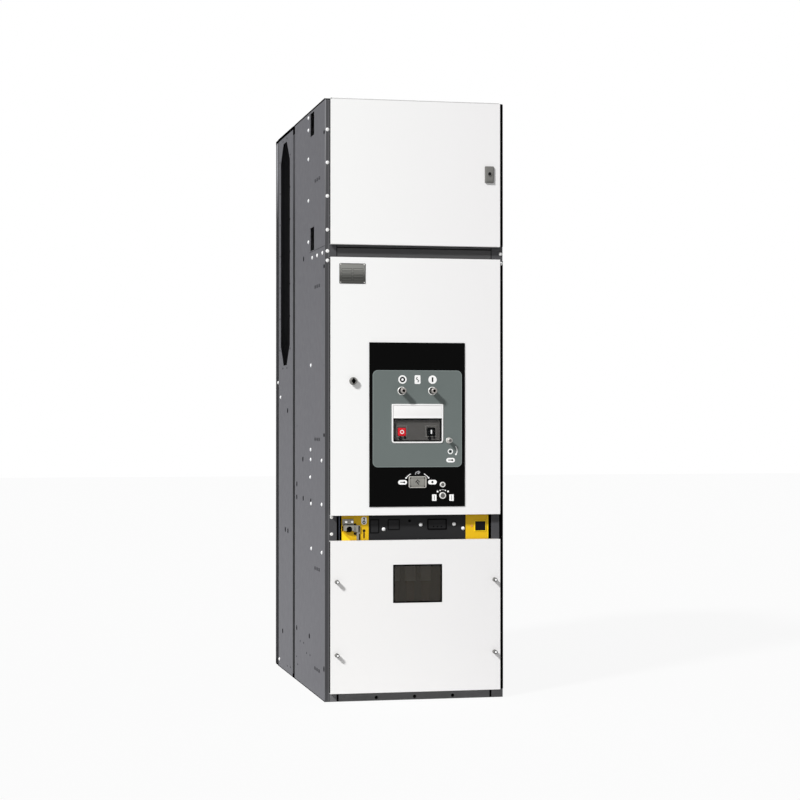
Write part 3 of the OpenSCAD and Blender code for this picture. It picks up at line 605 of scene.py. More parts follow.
LOCK_SLOT_SHARE = (0.68, 1.0)
lock_spot, lock_w, lock_t, _ = measure("cb_lock", DOOR_Y)
lock_r = lock_w / 2
rosette = turned([[lock_r, 0], [lock_r, 2], [lock_r - 0.5, 3], [lock_r - 1, lock_t - 1.5],
                  [lock_r - 2, lock_t - 0.6], [lock_r - 4, lock_t - 0.6]])
on_door("door_lock", "zinc", scatter(rosette, lock_spot), tone="lock_metal", stands_for=["cb_lock"])
lock_slot = moved(slab(circle(lock_r - 2, 4) * LOCK_SLOT_SHARE, 0.5, 0.2), 0, 0, lock_t - 0.6)
on_door("door_lock_socket", "black_plastic", scatter(lock_slot, lock_spot), tone="hole_and_shade_black")

NAMEPLATE = (-248.5, 1630.5)
NAMEPLATE_W, NAMEPLATE_H, NAMEPLATE_T = 101, 77, 1.2
FIELDS = grid(NAMEPLATE, (-22, 22), (-24, -11, 2, 15))
RIVETS = grid(NAMEPLATE, (-46, 46), (-34, 34))
nameplate_ends = [(NAMEPLATE[1] + side * NAMEPLATE_H / 2) * MM for side in (-1, 1)]
etched_plate("nameplate_metal", "#4c4c49", "#858581", *nameplate_ends)
on_door("nameplate", "zinc", front(plate(NAMEPLATE_W, NAMEPLATE_H, 2.5, NAMEPLATE_T, 0.4), DOOR_Y, NAMEPLATE),
        tone="nameplate_metal")
on_door("nameplate_rim", "zinc",
        front(rim(NAMEPLATE_W, NAMEPLATE_H, 2.5, 2.25, 1.5, 1.4, 0.3), DOOR_Y, NAMEPLATE), tone="dark_print_and_shade")
on_door("nameplate_fields", "zinc", front(rim(40, 9, 1, 1, 0.6, 0.25, 0.08), DOOR_Y - 1.15 * MM, *FIELDS),
        tone="dark_print_and_shade")
rivet = turned([[2.2, 0], [2.1, 0.5], [1.5, 0.9], [0.6, 1.1]], 16)
on_door("nameplate_rivets", "zinc", front(rivet, DOOR_Y - NAMEPLATE_T * MM, *RIVETS))

mimic_spot, mimic_w, _, mimic_h = measure("mimic_plate", MIMIC_Y)
mimic_line = border(round_rect(mimic_w - 1, mimic_h - 1, 19.5, steps=12),
                    round_rect(mimic_w - 6, mimic_h - 6, 17, steps=12), 0.3, 0.1)
on_door("mimic_edge_line", "mimic_grey", scatter(mimic_line, mimic_spot), tone="grey_print")

# Viewing frame: a flange on the mimic plate and a sleeve through the door, with its pane
VIEW_BORDER = 6
VIEW_STEP = 3.3
PANE_PLAY = 0.2
view_spot, view_w, _, view_h = measure("viewing_frame", MIMIC_Y)
view_out, view_in = reach("viewing_frame", MIMIC_Y)
view_hole = round_rect(view_w - 2 * VIEW_BORDER, view_h - 2 * VIEW_BORDER, 2, 5)
view_frame = join(
    border(round_rect(view_w, view_h, 3, 11), view_hole, view_out, 1.2),
    border(round_rect(view_w - 2 * VIEW_STEP, view_h - 2 * VIEW_STEP, 2, 6), view_hole, 0, 0, view_in),
)
on_door("window_frame", "white_plastic", scatter(view_frame, view_spot), stands_for=["viewing_frame"])
_, pane_w, glass_t, pane_h = measure("viewing_glass", WINDOW_Y)
pane_t = glass_t - 0.3
pane_spot = [view_spot[0], WINDOW_Y + pane_t * MM, view_spot[2]]
on_door("viewing_pane", "clear_glass",
        scatter(plate(pane_w - PANE_PLAY, pane_h - PANE_PLAY, 2, pane_t, 0.3), pane_spot),
        stands_for=["viewing_glass"])

# Racking cover: a pressed lid with a raised rim, four corner pins and a bent line; the rim lighter and the
# panel darker, as painted light and shade
LID_RIM = 5
LID_TRIM = 3
BENT_LINE = [[-8, -1], [0, 9], [7, 1], [-3, -1], [5, -9]]
lid_spot, lid_w, lid_t, lid_space = measure("racking_cover", PANEL_Y)
lid_h = lid_space - LID_TRIM
on_door("racking_lid", "cover_metal", scatter(rim(lid_w, lid_h, 7, LID_RIM, 3, lid_t, 1.6), lid_spot),
        stands_for=["racking_cover"])
lid_panel = join(
    plate(lid_w - 2, lid_h - 2, 6, lid_t - 3.5),
    plate(lid_w - 2 * LID_RIM - 5, lid_h - 2 * LID_RIM - 5, 2, lid_t - 1, 0.9),
)
on_door("racking_lid_panel", "cover_metal", scatter(lid_panel, lid_spot), tone="lid_shaded_metal")
pin = turned([[2.8, 0], [2.8, 0.7], [2.0, 0.9], [1.5, 0.3]], 16)
pin_x, pin_z = lid_w / 2 - 7, lid_h / 2 - 6
lid_marks = [moved(pin, x, z, lid_t - 0.9) for x, z in grid((0, 0), (-pin_x, pin_x), (-pin_z, pin_z))]
lid_marks.append(moved(stroke(BENT_LINE, 4, 0.3), 0, 0, lid_t - 1))
on_door("racking_lid_marks", "cover_metal", scatter(join(*lid_marks), lid_spot), tone="dark_print_and_shade")

# Key locks, each given by its height and radius, and the charging spindle
KEY_LOCKS = ((825, 10.6), (783, 12.8))
LOW_KEY_R = 13.5
KEY_OUT = 8
SPINDLE_R = 9.5
FLANGE_R = 11.5
SOCKET_R = 6.2
locks_low, locks_high = span("panel_locks")
key_x = locks_low[0] / MM + LOW_KEY_R
key_rings, key_cores = [], []
for z, r in KEY_LOCKS:
    collar = turned([[r, 0], [r, KEY_OUT - 1.5], [r - 1, KEY_OUT], [r - 3.4, KEY_OUT],
                     [r - 3.9, KEY_OUT - 1.4]], 40)
    key_rings.append(front(collar, PANEL_Y, (key_x, z)))
    dots = [moved(disc(1.1, KEY_OUT - 0.3, 0.3, 12), across, up) for across, up in circle(r - 6, 6) / MM]
    key_cores.append(front(join(disc(r - 4, KEY_OUT - 1.1, 0.3), *dots), PANEL_Y, (key_x, z)))
spindle_spot = [locks_high[0] - SPINDLE_R * MM, MIMIC_Y, locks_high[2] - SPINDLE_R * MM]
spindle_out, _ = reach("panel_locks", MIMIC_Y)
spindle = turned([[FLANGE_R, 0], [FLANGE_R, 2.4], [SPINDLE_R + 1, 3.4], [SPINDLE_R - 2.2, 3.8],
                  [SPINDLE_R - 2.2, spindle_out - 9], [SPINDLE_R - 0.4, spindle_out - 8],
                  [SPINDLE_R - 0.4, spindle_out - 1.4], [SPINDLE_R - 1.4, spindle_out - 0.3],
                  [SPINDLE_R - 2.2, spindle_out], [SOCKET_R, spindle_out],
                  [SOCKET_R - 0.6, spindle_out - 3]], 40)
spindle_socket = moved(disc(SOCKET_R - 0.1, 0.4, 0.1, 6), 0, 0, spindle_out - 0.5)
on_door("key_rings", "zinc", *key_rings, tone="bright_zinc", stands_for=["panel_locks"])
on_door("charging_spindle", "zinc", scatter(spindle, spindle_spot), tone="spindle_metal")
on_door("spindle_socket", "zinc", scatter(spindle_socket, spindle_spot), tone="core_grey")
on_door("key_cores", "zinc", *key_cores, tone="core_grey")

# Plungers in their bushes: a bright cap on a dark stem, with a hole in the cap, and painted shade in the groove
# round the stem
BUSH_R = 16
BUSH_IN = -10.5
STEM_PLAY = 0.3
CAP_LEN = 9
CAP_HOLE = 5.4
bushes, grooves = [], []
for name in ("open_plunger", "close_plunger"):
    spot, head_w, _, _ = measure(name, MIMIC_Y)
    tip, inside = reach(name, MIMIC_Y)
    head_r = head_w / 2
    stem_r = head_r - 2
    gap_r = stem_r + STEM_PLAY
    foot = -inside
    cap_foot = tip - CAP_LEN
    stem = turned([[head_r, foot], [head_r, foot + 3.4], [head_r - 0.4, foot + 4], [stem_r - 0.4, foot + 4],
                   [stem_r - 0.4, cap_foot + 1]], 40)
    cap = turned([[stem_r - 0.6, cap_foot], [stem_r, cap_foot + 0.6], [stem_r, tip - 2.4],
                  [stem_r - 0.6, tip - 0.9], [stem_r - 2, tip], [CAP_HOLE + 0.6, tip],
                  [CAP_HOLE + 0.1, tip - 0.6], [CAP_HOLE, tip - 4]], 40)
    cap_hole = moved(disc(CAP_HOLE, 0.4), 0, 0, tip - 2.4)
    piece(name, name + "_stem", "zinc", scatter(stem, spot), tone="stem_dark", stands_for=[name])
    piece(name, name + "_cap", "zinc", scatter(cap, spot), tone="cap_metal")
    piece(name, name + "_cap_hole", "zinc", scatter(cap_hole, spot), tone="hole_and_shade_black")
    bush = turned([[stem_r + 2.5, BUSH_IN], [stem_r + 2.5, -0.1], [BUSH_R, 0], [BUSH_R, 1.6],
                   [BUSH_R - 0.9, 2.7], [BUSH_R - 2, 3], [BUSH_R - 3, 2.6], [BUSH_R - 3.4, 0.6],
                   [gap_r, 0.5], [gap_r, BUSH_IN]], 48, loop=True)
    bushes.append(scatter(bush, spot))
    grooves.append(scatter(moved(ring(BUSH_R - 3.3, gap_r, 0.5, 0, 48), 0, 0, 0.4), spot))
on_door("bushes", "zinc", *bushes, tone="bright_zinc", stands_for=["plunger_bushes"])
on_door("bush_grooves", "zinc", *grooves, tone="hole_and_shade_black")

# Symbols on the mimic plate and the black panel: thin prints, and prints half as thick over them
PRINT = 0.3
OVERPRINT = PRINT / 2
ARROW_TIP = PRINT + 0.1
ORIGIN = (0, 0)
O_SIGN = (-55, 1227.5)
SPRING_SIGN = (4, 1227.5)
I_SIGN = (63, 1227.5)
RING_SIGN = (133, 952)
CRANK_PILL = (134, 918.5)
RACK_PILLS = ((-54, 834.5), (63, 834.5))
RACK_SIGN = (4, 818)
KEY_TABS = ((70.5, 775), (138.5, 774.5))
KEY_DOTS = ((83.5, 798.5, 3.6), (93.5, 802.5, 2.5), (114, 802.5, 2.5), (124.5, 798.5, 3.6))
KEY_BAR = (104.5, 805)
TURN_ARROW = [[154, 972], [157, 966], [159, 959], [159.5, 952], [158, 945], [155, 941]]
CRANK_SIGN = [[-4, 864], [-2, 871], [4, 875], [11, 876], [14, 872], [8, 869]]
HANDLE = [[-9, 0], [-3, 0.4], [3, 0.4], [6, 0]]
rack_turns = [arc_path(55, start, end) + RACK_SIGN for start, end in ((118, 143), (62, 37))]
pill = plate(34.5, 17.5, 8.6, PRINT)
white_signs = [
    front(disc(16.4, PRINT), MIMIC_Y, O_SIGN, I_SIGN),
    front(plate(23, 33.5, 4, PRINT), MIMIC_Y, SPRING_SIGN),
    front(ring(10.4, 7, PRINT), MIMIC_Y, RING_SIGN),
    front(pill, MIMIC_Y, CRANK_PILL),
    front(stroke(TURN_ARROW, 3, PRINT), MIMIC_Y, ORIGIN),
    front(disc(3.6, ARROW_TIP), MIMIC_Y, TURN_ARROW[-1]),
    front(pill, PANEL_Y, *RACK_PILLS),
    front(plate(17.5, 25, 2.5, PRINT), PANEL_Y, *KEY_TABS),
    *[front(disc(r, PRINT), PANEL_Y, (x, z)) for x, z, r in KEY_DOTS],
    *[front(stroke(path, 2.8, PRINT), PANEL_Y, ORIGIN) for path in rack_turns],
    front(disc(3.2, ARROW_TIP), PANEL_Y, *[path[-1] for path in rack_turns]),
]
on_door("white_symbols", "white_plastic", *white_signs, tone="white_print")
grey_signs = [
    front(stroke(CRANK_SIGN, 3.4, PRINT), PANEL_Y, ORIGIN),
    front(disc(3.4, ARROW_TIP), PANEL_Y, CRANK_SIGN[-1]),
    front(plate(12, 3, 1.4, PRINT), PANEL_Y, KEY_BAR),
]
on_door("grey_symbols", "mimic_grey", *grey_signs, tone="faint_print")

PRINT_LIFT = (PRINT + 0.05) * MM
over_mimic = MIMIC_Y - PRINT_LIFT
over_panel = PANEL_Y - PRINT_LIFT
crank = join(stroke(HANDLE, 3, OVERPRINT), moved(disc(3.6, OVERPRINT, 0, 20), 6.5))
dark_signs = [
    front(ring(10.6, 4.8, OVERPRINT), over_mimic, O_SIGN),
    front(plate(6, 18, 0.8, OVERPRINT), over_mimic, I_SIGN),
    front(disc(3.4, PRINT, 0, 20), MIMIC_Y, RING_SIGN),
    front(crank, over_mimic, CRANK_PILL),
    front(crank, over_panel, RACK_PILLS[0]),
    front(disc(4.2, OVERPRINT, 0, 24), over_panel, RACK_PILLS[1]),
]
on_door("dark_symbols", "panel_black", *dark_signs, tone="dark_print_and_shade")
down = np.linspace(0, 1, 25)[:, None]
spring_path = np.concatenate([-5 * np.sin(2 * np.pi * down) * (1 - 0.2 * down), 9 - 19 * down], -1)
pale_signs = [
    front(stroke(spring_path, 3.8, OVERPRINT), over_mimic, SPRING_SIGN),
    front(plate(2.2, 18, 0.8, OVERPRINT), over_panel, *KEY_TABS),
]
on_door("pale_symbols", "mimic_grey", *pale_signs, tone="pale_print")


# Breaker face behind the viewing glass

BUTTONS = {
    "off_button": ("red_plastic", ring(7.8, 4.7, 0.3, 0.1)),
    "on_button": ("button_black", plate(5.5, 15, 1.2, 0.3, 0.1)),
}
# Black marks under each button: painted shadows of the button
shadow_pair = join(moved(disc(7, 2.2, 1), -6, -23.6), moved(disc(5, 2.2, 1), 11, -21.6))
bezels, button_shadows = [], []
for name, (colour, sign) in BUTTONS.items():
    low, high = span(name)
    back, width, depth, _ = measure(name, high[1])
    face = measure(name, low[1])[0]
    on_fascia = measure(name, FASCIA_Y)[0]
    piece(name, name + "_cap", colour, scatter(plate(width, width, 3, depth, 2.2), back), stands_for=[name])
    piece(name, name + "_sign", "white_plastic", scatter(sign, face), tone="white_print")
    bezel = border(round_rect(width + 13, width + 14, 4), round_rect(width + 5.4, width + 5.4, 3), 1.4, 0.6)
    bezels.append(scatter(moved(bezel, -1, 2), on_fascia))
    button_shadows.append(scatter(shadow_pair, on_fascia))
on_cabinet("button_bezels", "fascia_plastic", *bezels, tone="bezel_grey")
on_cabinet("button_stops", "black_plastic", *button_shadows)

# On the glass: a white film before the window plate, a bar along its foot, and a black seal round the clear
# part, which also paints the shade of the gap round the breaker face
FILM = 0.3
FILM_GAP = 1
WINDOW_BAR_H = 7
SEAL_W = 2.4
SEAL_GAP = 0.5
film_spot, plate_w, _, plate_h = measure("window_plate", WINDOW_Y)
film_w = plate_w - FILM_GAP
plate_foot = span("window_plate")[0][2]
pane_foot = span("viewing_glass")[0][2]
on_door("window_film", "white_plastic", scatter(plate(film_w, plate_h - FILM_GAP, 1.5, FILM, 0.1), film_spot))
bar_spot = [film_spot[0], WINDOW_Y - FILM * MM, plate_foot + (WINDOW_BAR_H + FILM_GAP) / 2 * MM]
on_door("window_bar", "white_plastic", scatter(plate(film_w, WINDOW_BAR_H, 1, 0.2, 0.05), bar_spot),
        tone="white_print")
seal_h = (plate_foot - pane_foot) / MM - SEAL_GAP
seal_spot = [film_spot[0], WINDOW_Y, (plate_foot + pane_foot) / 2]
on_door("window_seal", "black_plastic", scatter(rim(film_w, seal_h, 1.5, SEAL_W, 1, FILM, 0.1), seal_spot),
        tone="black_rubber")


# Interlock band between breaker door and cable cover

EMBOSSED = ((-155.5, 665.5, 37, 54), (-80, 671.5, 48, 42))
BAND_SOCKET = (90.5, 671)
BAND_SOCKET_W, BAND_SOCKET_H = 76, 41
SOCKET_HOLES = ((-13.5, -9), (2, -9), (17.5, -9))
BAND_HOLE = (-17.5, 685)
BAND_SCREWS = ((-119.5, 654), (26, 670), (158, 671), (194, 654))
# Dark rims round the embossings: painted shade along their pressed edges
embossed = [front(rim(w, h, 3, 4, 2, 1.3, 0.6), BAND_Y, (x, z)) for x, z, w, h in EMBOSSED]
on_cabinet("band_embossings", "band_paint", *embossed, tone="dark_print_and_shade")
on_cabinet("band_socket_floor", "black_plastic",
           front(plate(BAND_SOCKET_W - 4, BAND_SOCKET_H - 4, 2, 1.2), BAND_Y, BAND_SOCKET), tone="socket_grey")
on_cabinet("band_socket", "black_plastic",
           front(rim(BAND_SOCKET_W, BAND_SOCKET_H, 3, 3.5, 2, 3, 1), BAND_Y, BAND_SOCKET), tone="hole_and_shade_black")
socket_holes = join(*[moved(disc(2.6, 0.5, 0, 20), across, up, 1) for across, up in SOCKET_HOLES])
on_cabinet("band_socket_holes", "black_plastic", front(socket_holes, BAND_Y, BAND_SOCKET),
           front(hole_mark(4), BAND_Y, BAND_HOLE), tone="hole_and_shade_black")
on_cabinet("band_screws", "zinc", front(screw_head(7, 8), BAND_Y, *BAND_SCREWS), tone="bright_screw")

# Earthing bracket: bolts, pins, the shades of its folds (place, size and distance out) and painted shade in its
# key way, with a dark ring round it
BRACKET_BOLTS = ((-268, 684.5), (-245, 684.5))
BRACKET_PINS = ((-232, 672.5), (-231, 638))
BRACKET_SHADES = ((-259, 672.3, 40, 4, 4), (-279.8, 657.5, 4.5, 19, 0),
                  (-217, 657, 5, 23, 7), (-215.2, 626, 4, 24, 4))
BRACKET_T = 4
KEYWAY = (-256, 656)
KEYWAY_R = 8.8
bracket_bolt = turned([[4.8, 0], [4.8, 10], [4.2, 11], [1.4, 11.4]], 20)
on_cabinet("bracket_screws", "zinc", front(bracket_bolt, MARK_Y - BRACKET_T * MM, *BRACKET_BOLTS),
           tone="bright_screw")
shades = [front(plate(w, h, 1, 0.3, 0.1), MARK_Y - out * MM, (x, z)) for x, z, w, h, out in BRACKET_SHADES]
on_cabinet("bracket_shades", "black_plastic", *shades, tone="hole_and_shade_black")
keyway_shade = join(
    disc(KEYWAY_R, 12),
    moved(plate(2 * KEYWAY_R, 11, 0.5, 11.8), 0, -5.5),
    moved(ring(KEYWAY_R + 2, KEYWAY_R, 0.2), 0, 0, 15),
)
on_cabinet("bracket_keyway", "black_plastic", front(keyway_shade, MARK_Y, KEYWAY), tone="hole_and_shade_black")
bracket_pin = turned([[5, 0], [5, 3.4], [4.2, 4.2], [2.4, 4.4]], 20)
on_cabinet("bracket_pins", "black_plastic", front(bracket_pin, MARK_Y, *BRACKET_PINS))

# Yellow plates: key sign, key slot, painted highlights on a corner and an edge, indicator window with its lens
KEY_SIGN = (-196.5, 687.5)
KEY_SLOT_HOLE = (-196.5, 649)
KEY_SLOT = (-196.5, 632)
CORNER_TIP, CORNER_W = 1.2, 47
CORNER_Z = (599.2, 645)
PLATE_EDGE = (292.8, 662)
LENS = (228, 663)
on_cabinet("key_sign", "white_plastic", front(plate(21, 29, 8, PRINT), MARK_Y, KEY_SIGN), tone="white_print")
key_mark = join(
    moved(ring(6, 2.6, OVERPRINT), 0, -6.5),
    stroke([[-1, -1], [2, 4], [0.5, 8.5]], 3.2, OVERPRINT),
    moved(disc(3.2, OVERPRINT, 0, 20), 0, 9),
)
on_cabinet("key_sign_mark", "black_plastic", front(key_mark, MARK_Y - PRINT_LIFT, KEY_SIGN), tone="dark_print_and_shade")
on_cabinet("key_slot_hole", "black_plastic", front(hole_mark(4.5), MARK_Y, KEY_SLOT_HOLE))
on_cabinet("key_slot", "yellow_paint", front(plate(6, 25, 2.8, PRINT), MARK_Y, KEY_SLOT), tone="brown_slot")
plates_low = span("interlock_plates")[0]
corner = np.array([[CORNER_TIP, CORNER_Z[0]], [CORNER_W, CORNER_Z[0]], [CORNER_TIP, CORNER_Z[1]]]) * MM
on_cabinet("bright_corner", "yellow_paint", scatter(slab(corner, PRINT), [plates_low[0], plates_low[1], 0]),
           tone="lit_yellow")
on_cabinet("bright_edge", "yellow_paint", front(plate(3, 90, 1, PRINT), MARK_Y, PLATE_EDGE),
           tone="lit_yellow")
eye_spot, eye_w, _, eye_h = measure("indicator_window", MARK_Y)
on_cabinet("indicator_rim", "yellow_paint", scatter(rim(eye_w + 7, eye_h + 7, 2.5, 3.3, 1, 2.2, 0.8), eye_spot),
           tone="lit_yellow")
lens = turned([[5, 0], [4.6, 0.6], [3, 1.1], [1, 1.3]], 24)
on_cabinet("indicator_lens", "yellow_paint", front(lens, MARK_Y, LENS), tone="amber_lens")
ROD_FOOT = np.array([-291, -606, 600.5]) * MM
ROD_R, ROD_LEN = 4, 106
rod = turned([[ROD_R, 0], [ROD_R, ROD_LEN]], 24)
on_cabinet("interlock_rod", "zinc", scatter(rod, ROD_FOOT, TOP), tone="blue_steel")


# Cable cover: window gasket, thumb screws, and the terminations behind the glass

GLASS_LAP = 12
GASKET_PLAY = 0.2
window_spot, glass_w, _, glass_h = measure("cable_window", DOOR_Y)
gasket_w, gasket_h = [size - 2 * (GLASS_LAP + GASKET_PLAY) for size in (glass_w, glass_h)]
on_cabinet("window_gasket", "black_plastic",
           scatter(rim(gasket_w, gasket_h, 2.5, 4.8, 3, 0.8, 0.4, 2.4), window_spot), tone="hole_and_shade_black")

KNOB_BASE = 8
knob_out, _ = reach("cover_knobs", DOOR_Y)
knobs_low, knobs_high = span("cover_knobs")
knobs_low, knobs_high = knobs_low + KNOB_BASE * MM, knobs_high - KNOB_BASE * MM
knob_spots = [[x, DOOR_Y, z] for x in (knobs_low[0], knobs_high[0]) for z in (knobs_low[2], knobs_high[2])]
washer = turned([[KNOB_BASE, 0], [KNOB_BASE, 1.2], [KNOB_BASE - 0.8, 2], [5, 2.4]])
grip = turned([[4.6, 2], [4.6, 5], [7.2, 6], [7.2, knob_out - 2.5], [6.6, knob_out - 1], [5.8, knob_out - 0.4],
               [2.4, knob_out - 0.2], [2.1, knob_out - 1.6]], 96, 24, 0.7)
on_cabinet("thumb_screws", "zinc", scatter(join(washer, grip), knob_spots), tone="lock_metal",
           stands_for=["cover_knobs"])
knob_groove = moved(ring(6.6, 4.4, 0.3, 0.1), 0, 0, knob_out - 0.5)
on_cabinet("thumb_screw_grooves", "black_plastic", scatter(knob_groove, knob_spots), tone="dark_print_and_shade")
knob_face = moved(disc(4.2, 0.3, 0.1), 0, 0, knob_out - 0.3)
on_cabinet("thumb_screw_faces", "zinc", scatter(knob_face, knob_spots), tone="bright_screw")

RIB_PITCH = 11
BAR_W = 32
BOOT_LEN = 96
low, high = span("cable_insulators")
insulator_r = (high[1] - low[1]) / 2 / MM
columns = np.linspace(low[0] + insulator_r * MM, high[0] - insulator_r * MM, 3)
height = np.linspace(0, (high[2] - low[2]) / MM, 56)
ribs = insulator_r * (0.86 + 0.14 * np.cos(2 * np.pi * height / RIB_PITCH))
insulator = turned(np.stack([ribs, height], -1), 40)
insulator_spots = [[x, (low[1] + high[1]) / 2, low[2]] for x in columns]
on_cabinet("ribbed_insulators", "resin", scatter(insulator, insulator_spots, TOP),
           stands_for=["cable_insulators"])
low, high = span("cable_bars")
bar_y = (low[1] + high[1]) / 2
bar_t, bar_len = (high - low)[1:] / MM
bar_spots = [[x, bar_y, low[2]] for x in columns]
boot_spots = [[x, bar_y, high[2] - BOOT_LEN * MM] for x in columns]
on_cabinet("sleeved_bars", "bar_sleeve", scatter(plate(BAR_W, bar_t, 2.5, bar_len), bar_spots, TOP),
           stands_for=["cable_bars"])
on_cabinet("bar_boots", "resin", scatter(plate(BAR_W + 10, bar_t + 8, 6, BOOT_LEN), boot_spots, TOP),
           tone="boot_grey")


# Front posts: screws beside the doors

POST_SCREWS = [(-340.5, z) for z in (2181, 2055, 1927, 1798, 1717, 1681)]
BEAM_SCREWS = ((341.5, 1717), (343, 1680))
LOW_POST_SCREWS = ((-324, 702), (-324, 638))
on_cabinet("post_screws", "zinc", front(screw_head(7, 2.4), FRAME_Y, *POST_SCREWS), tone="bright_screw")
on_cabinet("beam_screws", "zinc", front(screw_head(7, 9), FRAME_Y, *BEAM_SCREWS), tone="bright_screw")
on_cabinet("low_post_screws", "zinc", front(screw_head(6.2, 2.4), FRAME_Y, *LOW_POST_SCREWS),
           tone="bright_zinc")


# Side panels: screws, holes, embossed slots and feet, the same on both sides

SIDE_SCREWS = [(-253, z) for z in (2278, 2229, 2113, 1947, 1782)] + [(y, 1713) for y in (-344, -457, -577)]
SIDE_SCREWS += [(-312, 1289), (-309, 955), (-309, 916), (-562, 917), (-563, 748), (-323, 565), (-564, 564)]
SIDE_SCREWS += [(-300, 846), (-318, 742), (544, 1236), (472, 1171), (505, 33)]
FRONT_HOLES = [(-608, z) for z in (2173, 1660, 1015)]
LOW_HOLES = [(-608, 123), (348, 605), (276, 603)]
JOINT_HOLES = [(40, z) for z in (809, 755, 216)]
MIDDLE_HOLES = [(-129, 1725), (-113, 914), (-121, 756), (-305, 752), (-272, 214), (287, 1113), (418, 164)]
SMALL_HOLES = [(-289, 140), (-207, 140), (-133, 172), (-46, 170), (15, 68), (40, 98), (290, 29), (208, 33)]
EMBOSSED_SLOTS = [(y, z) for z in (2010, 1594, 998, 494, 103) for y in (-499, -453, -407)]
JOINT_FOOT = (120, 8.5)
REAR_FOOT = (590, 12)
SKIN_STEP = 2.5


def bus_edge_places():
    """Spots for screws round the busbar opening: its outline of eight corners, moved out, at even steps."""
    centre = (361.5, 1784.5)
    half_w, half_h, end_w, slope = 125 + 14, 477.5 + 12, 47.5 + 8, 80
    corners = np.array([[end_w, half_h], [half_w, half_h - slope], [half_w, slope - half_h], [end_w, -half_h]])
    corners = np.concatenate([corners, -corners])
    counts = [1, 6, 1, 1, 1, 6, 1, 1]
    steps = [np.linspace(*ends, endpoint=False) for ends in zip(corners, np.roll(corners, -1, 0), counts)]
    return (np.concatenate(steps) + centre).tolist()


on_cabinet("side_screws", "zinc", set_sides(screw_head(7.5, 5), *SIDE_SCREWS), tone="bright_screw")
on_cabinet("side_holes", "black_plastic", set_sides(plate(24, 14, 6, 0.5), *FRONT_HOLES),
           set_sides(hole_mark(9.5), *JOINT_HOLES, *MIDDLE_HOLES), set_sides(hole_mark(10), *LOW_HOLES),
           set_sides(hole_mark(3), *SMALL_HOLES), tone="hole_and_shade_black")
on_cabinet("side_slots", "side_paint", set_sides(plate(30, 13, 6, 1.2, 0.9), *EMBOSSED_SLOTS),
           tone="slot_shade")
on_cabinet("busbar_edge_screws", "black_plastic", set_sides(screw_head(4, 1.4), *bus_edge_places()),
           tone="hole_and_shade_black")
on_cabinet("joint_feet", "black_plastic", set_sides(plate(46, 17, 2, 1.2, 0.4), JOINT_FOOT),
           set_sides(plate(66, 24, 2, 1.2, 0.4), REAR_FOOT, sink=SKIN_STEP), tone="hole_and_shade_black")


# Joint between the sections with painted shade in its gap, rear corner strips, edges and folds, the same on
# both sides

JOINT_Y = (span("front_sides")[1][1] / MM, span("rear_sides")[0][1] / MM)
FRONT_PANEL_Y = (span("front_sides")[0][1] / MM, JOINT_Y[0])
REAR_PANEL_Y = (JOINT_Y[1], span("rear_sides")[1][1] / MM)
SEAM_Y = (JOINT_Y[0] - 8, JOINT_Y[1] + 2)
SEAM_OUT = 2.9
PANEL_Z = (13, 2264)
NOTCH_Z = (2264, 2301)
REAR_LINE_Z = (6, 2296)
# Rear corner strip lines (place, width, distance out and tone): painted shade towards the bottom, painted
# highlight towards the top
REAR_LINES = ((590, 69, 1.2, "strip_edge_shade"), (582, 20, 1.6, "strip_highlight"), (542.5, 18, 2.9, "strip_edge_shade"))
EDGE_LINES = ((FRONT_PANEL_Y, 2298.5, 6), (REAR_PANEL_Y, 2295.5, 13),
              (FRONT_PANEL_Y, 1.5, 3), (REAR_PANEL_Y, 1.5, 3))
STRIP_TOP = (590, 69, 2289, 2301, 1.9)
BUS_TRIM = (232.5, 8, 1387, 2182, 2.8)
SIDE_FOLD = (-446, 1738)


def upright(y, width, z_low, z_high, out):
    """Thin upright strip on both sides of the cubicle, at that distance before the inner skin."""
    return set_sides(plate(width, z_high - z_low, 0.5, out, 0.2), (y, (z_low + z_high) / 2), sink=SKIN_STEP)


seam = (sum(SEAM_Y) / 2, SEAM_Y[1] - SEAM_Y[0])
on_cabinet("joint_liners", "joint_paint", upright(*seam, *PANEL_Z, SEAM_OUT), tone="seam_shade")
on_cabinet("joint_notches", "joint_paint", upright(*seam, *NOTCH_Z, SEAM_OUT), tone="hole_and_shade_black")
for number, (y, width, out, tone) in enumerate(REAR_LINES):
    on_cabinet("rear_strip_line_%d" % number, "strip_paint", upright(y, width, *REAR_LINE_Z, out), tone=tone)
edge_lines = [set_sides(plate(y1 - y0, line_h, 0.5, 0.4), ((y0 + y1) / 2, z))
              for (y0, y1), z, line_h in EDGE_LINES]
on_cabinet("panel_edge_lines", "joint_paint", *edge_lines, upright(*STRIP_TOP), tone="hole_and_shade_black")
on_cabinet("busbar_opening_trim", "joint_paint", upright(*BUS_TRIM), tone="hole_and_shade_black")
on_cabinet("side_folds", "side_paint", set_sides(plate(350, 3, 0.5, 0.25), SIDE_FOLD), tone="slot_shade")


# Plinth: dark holes, lighter patches on the feet of the posts as painted light against the cover's shadow, and
# painted shade in the gaps beside them

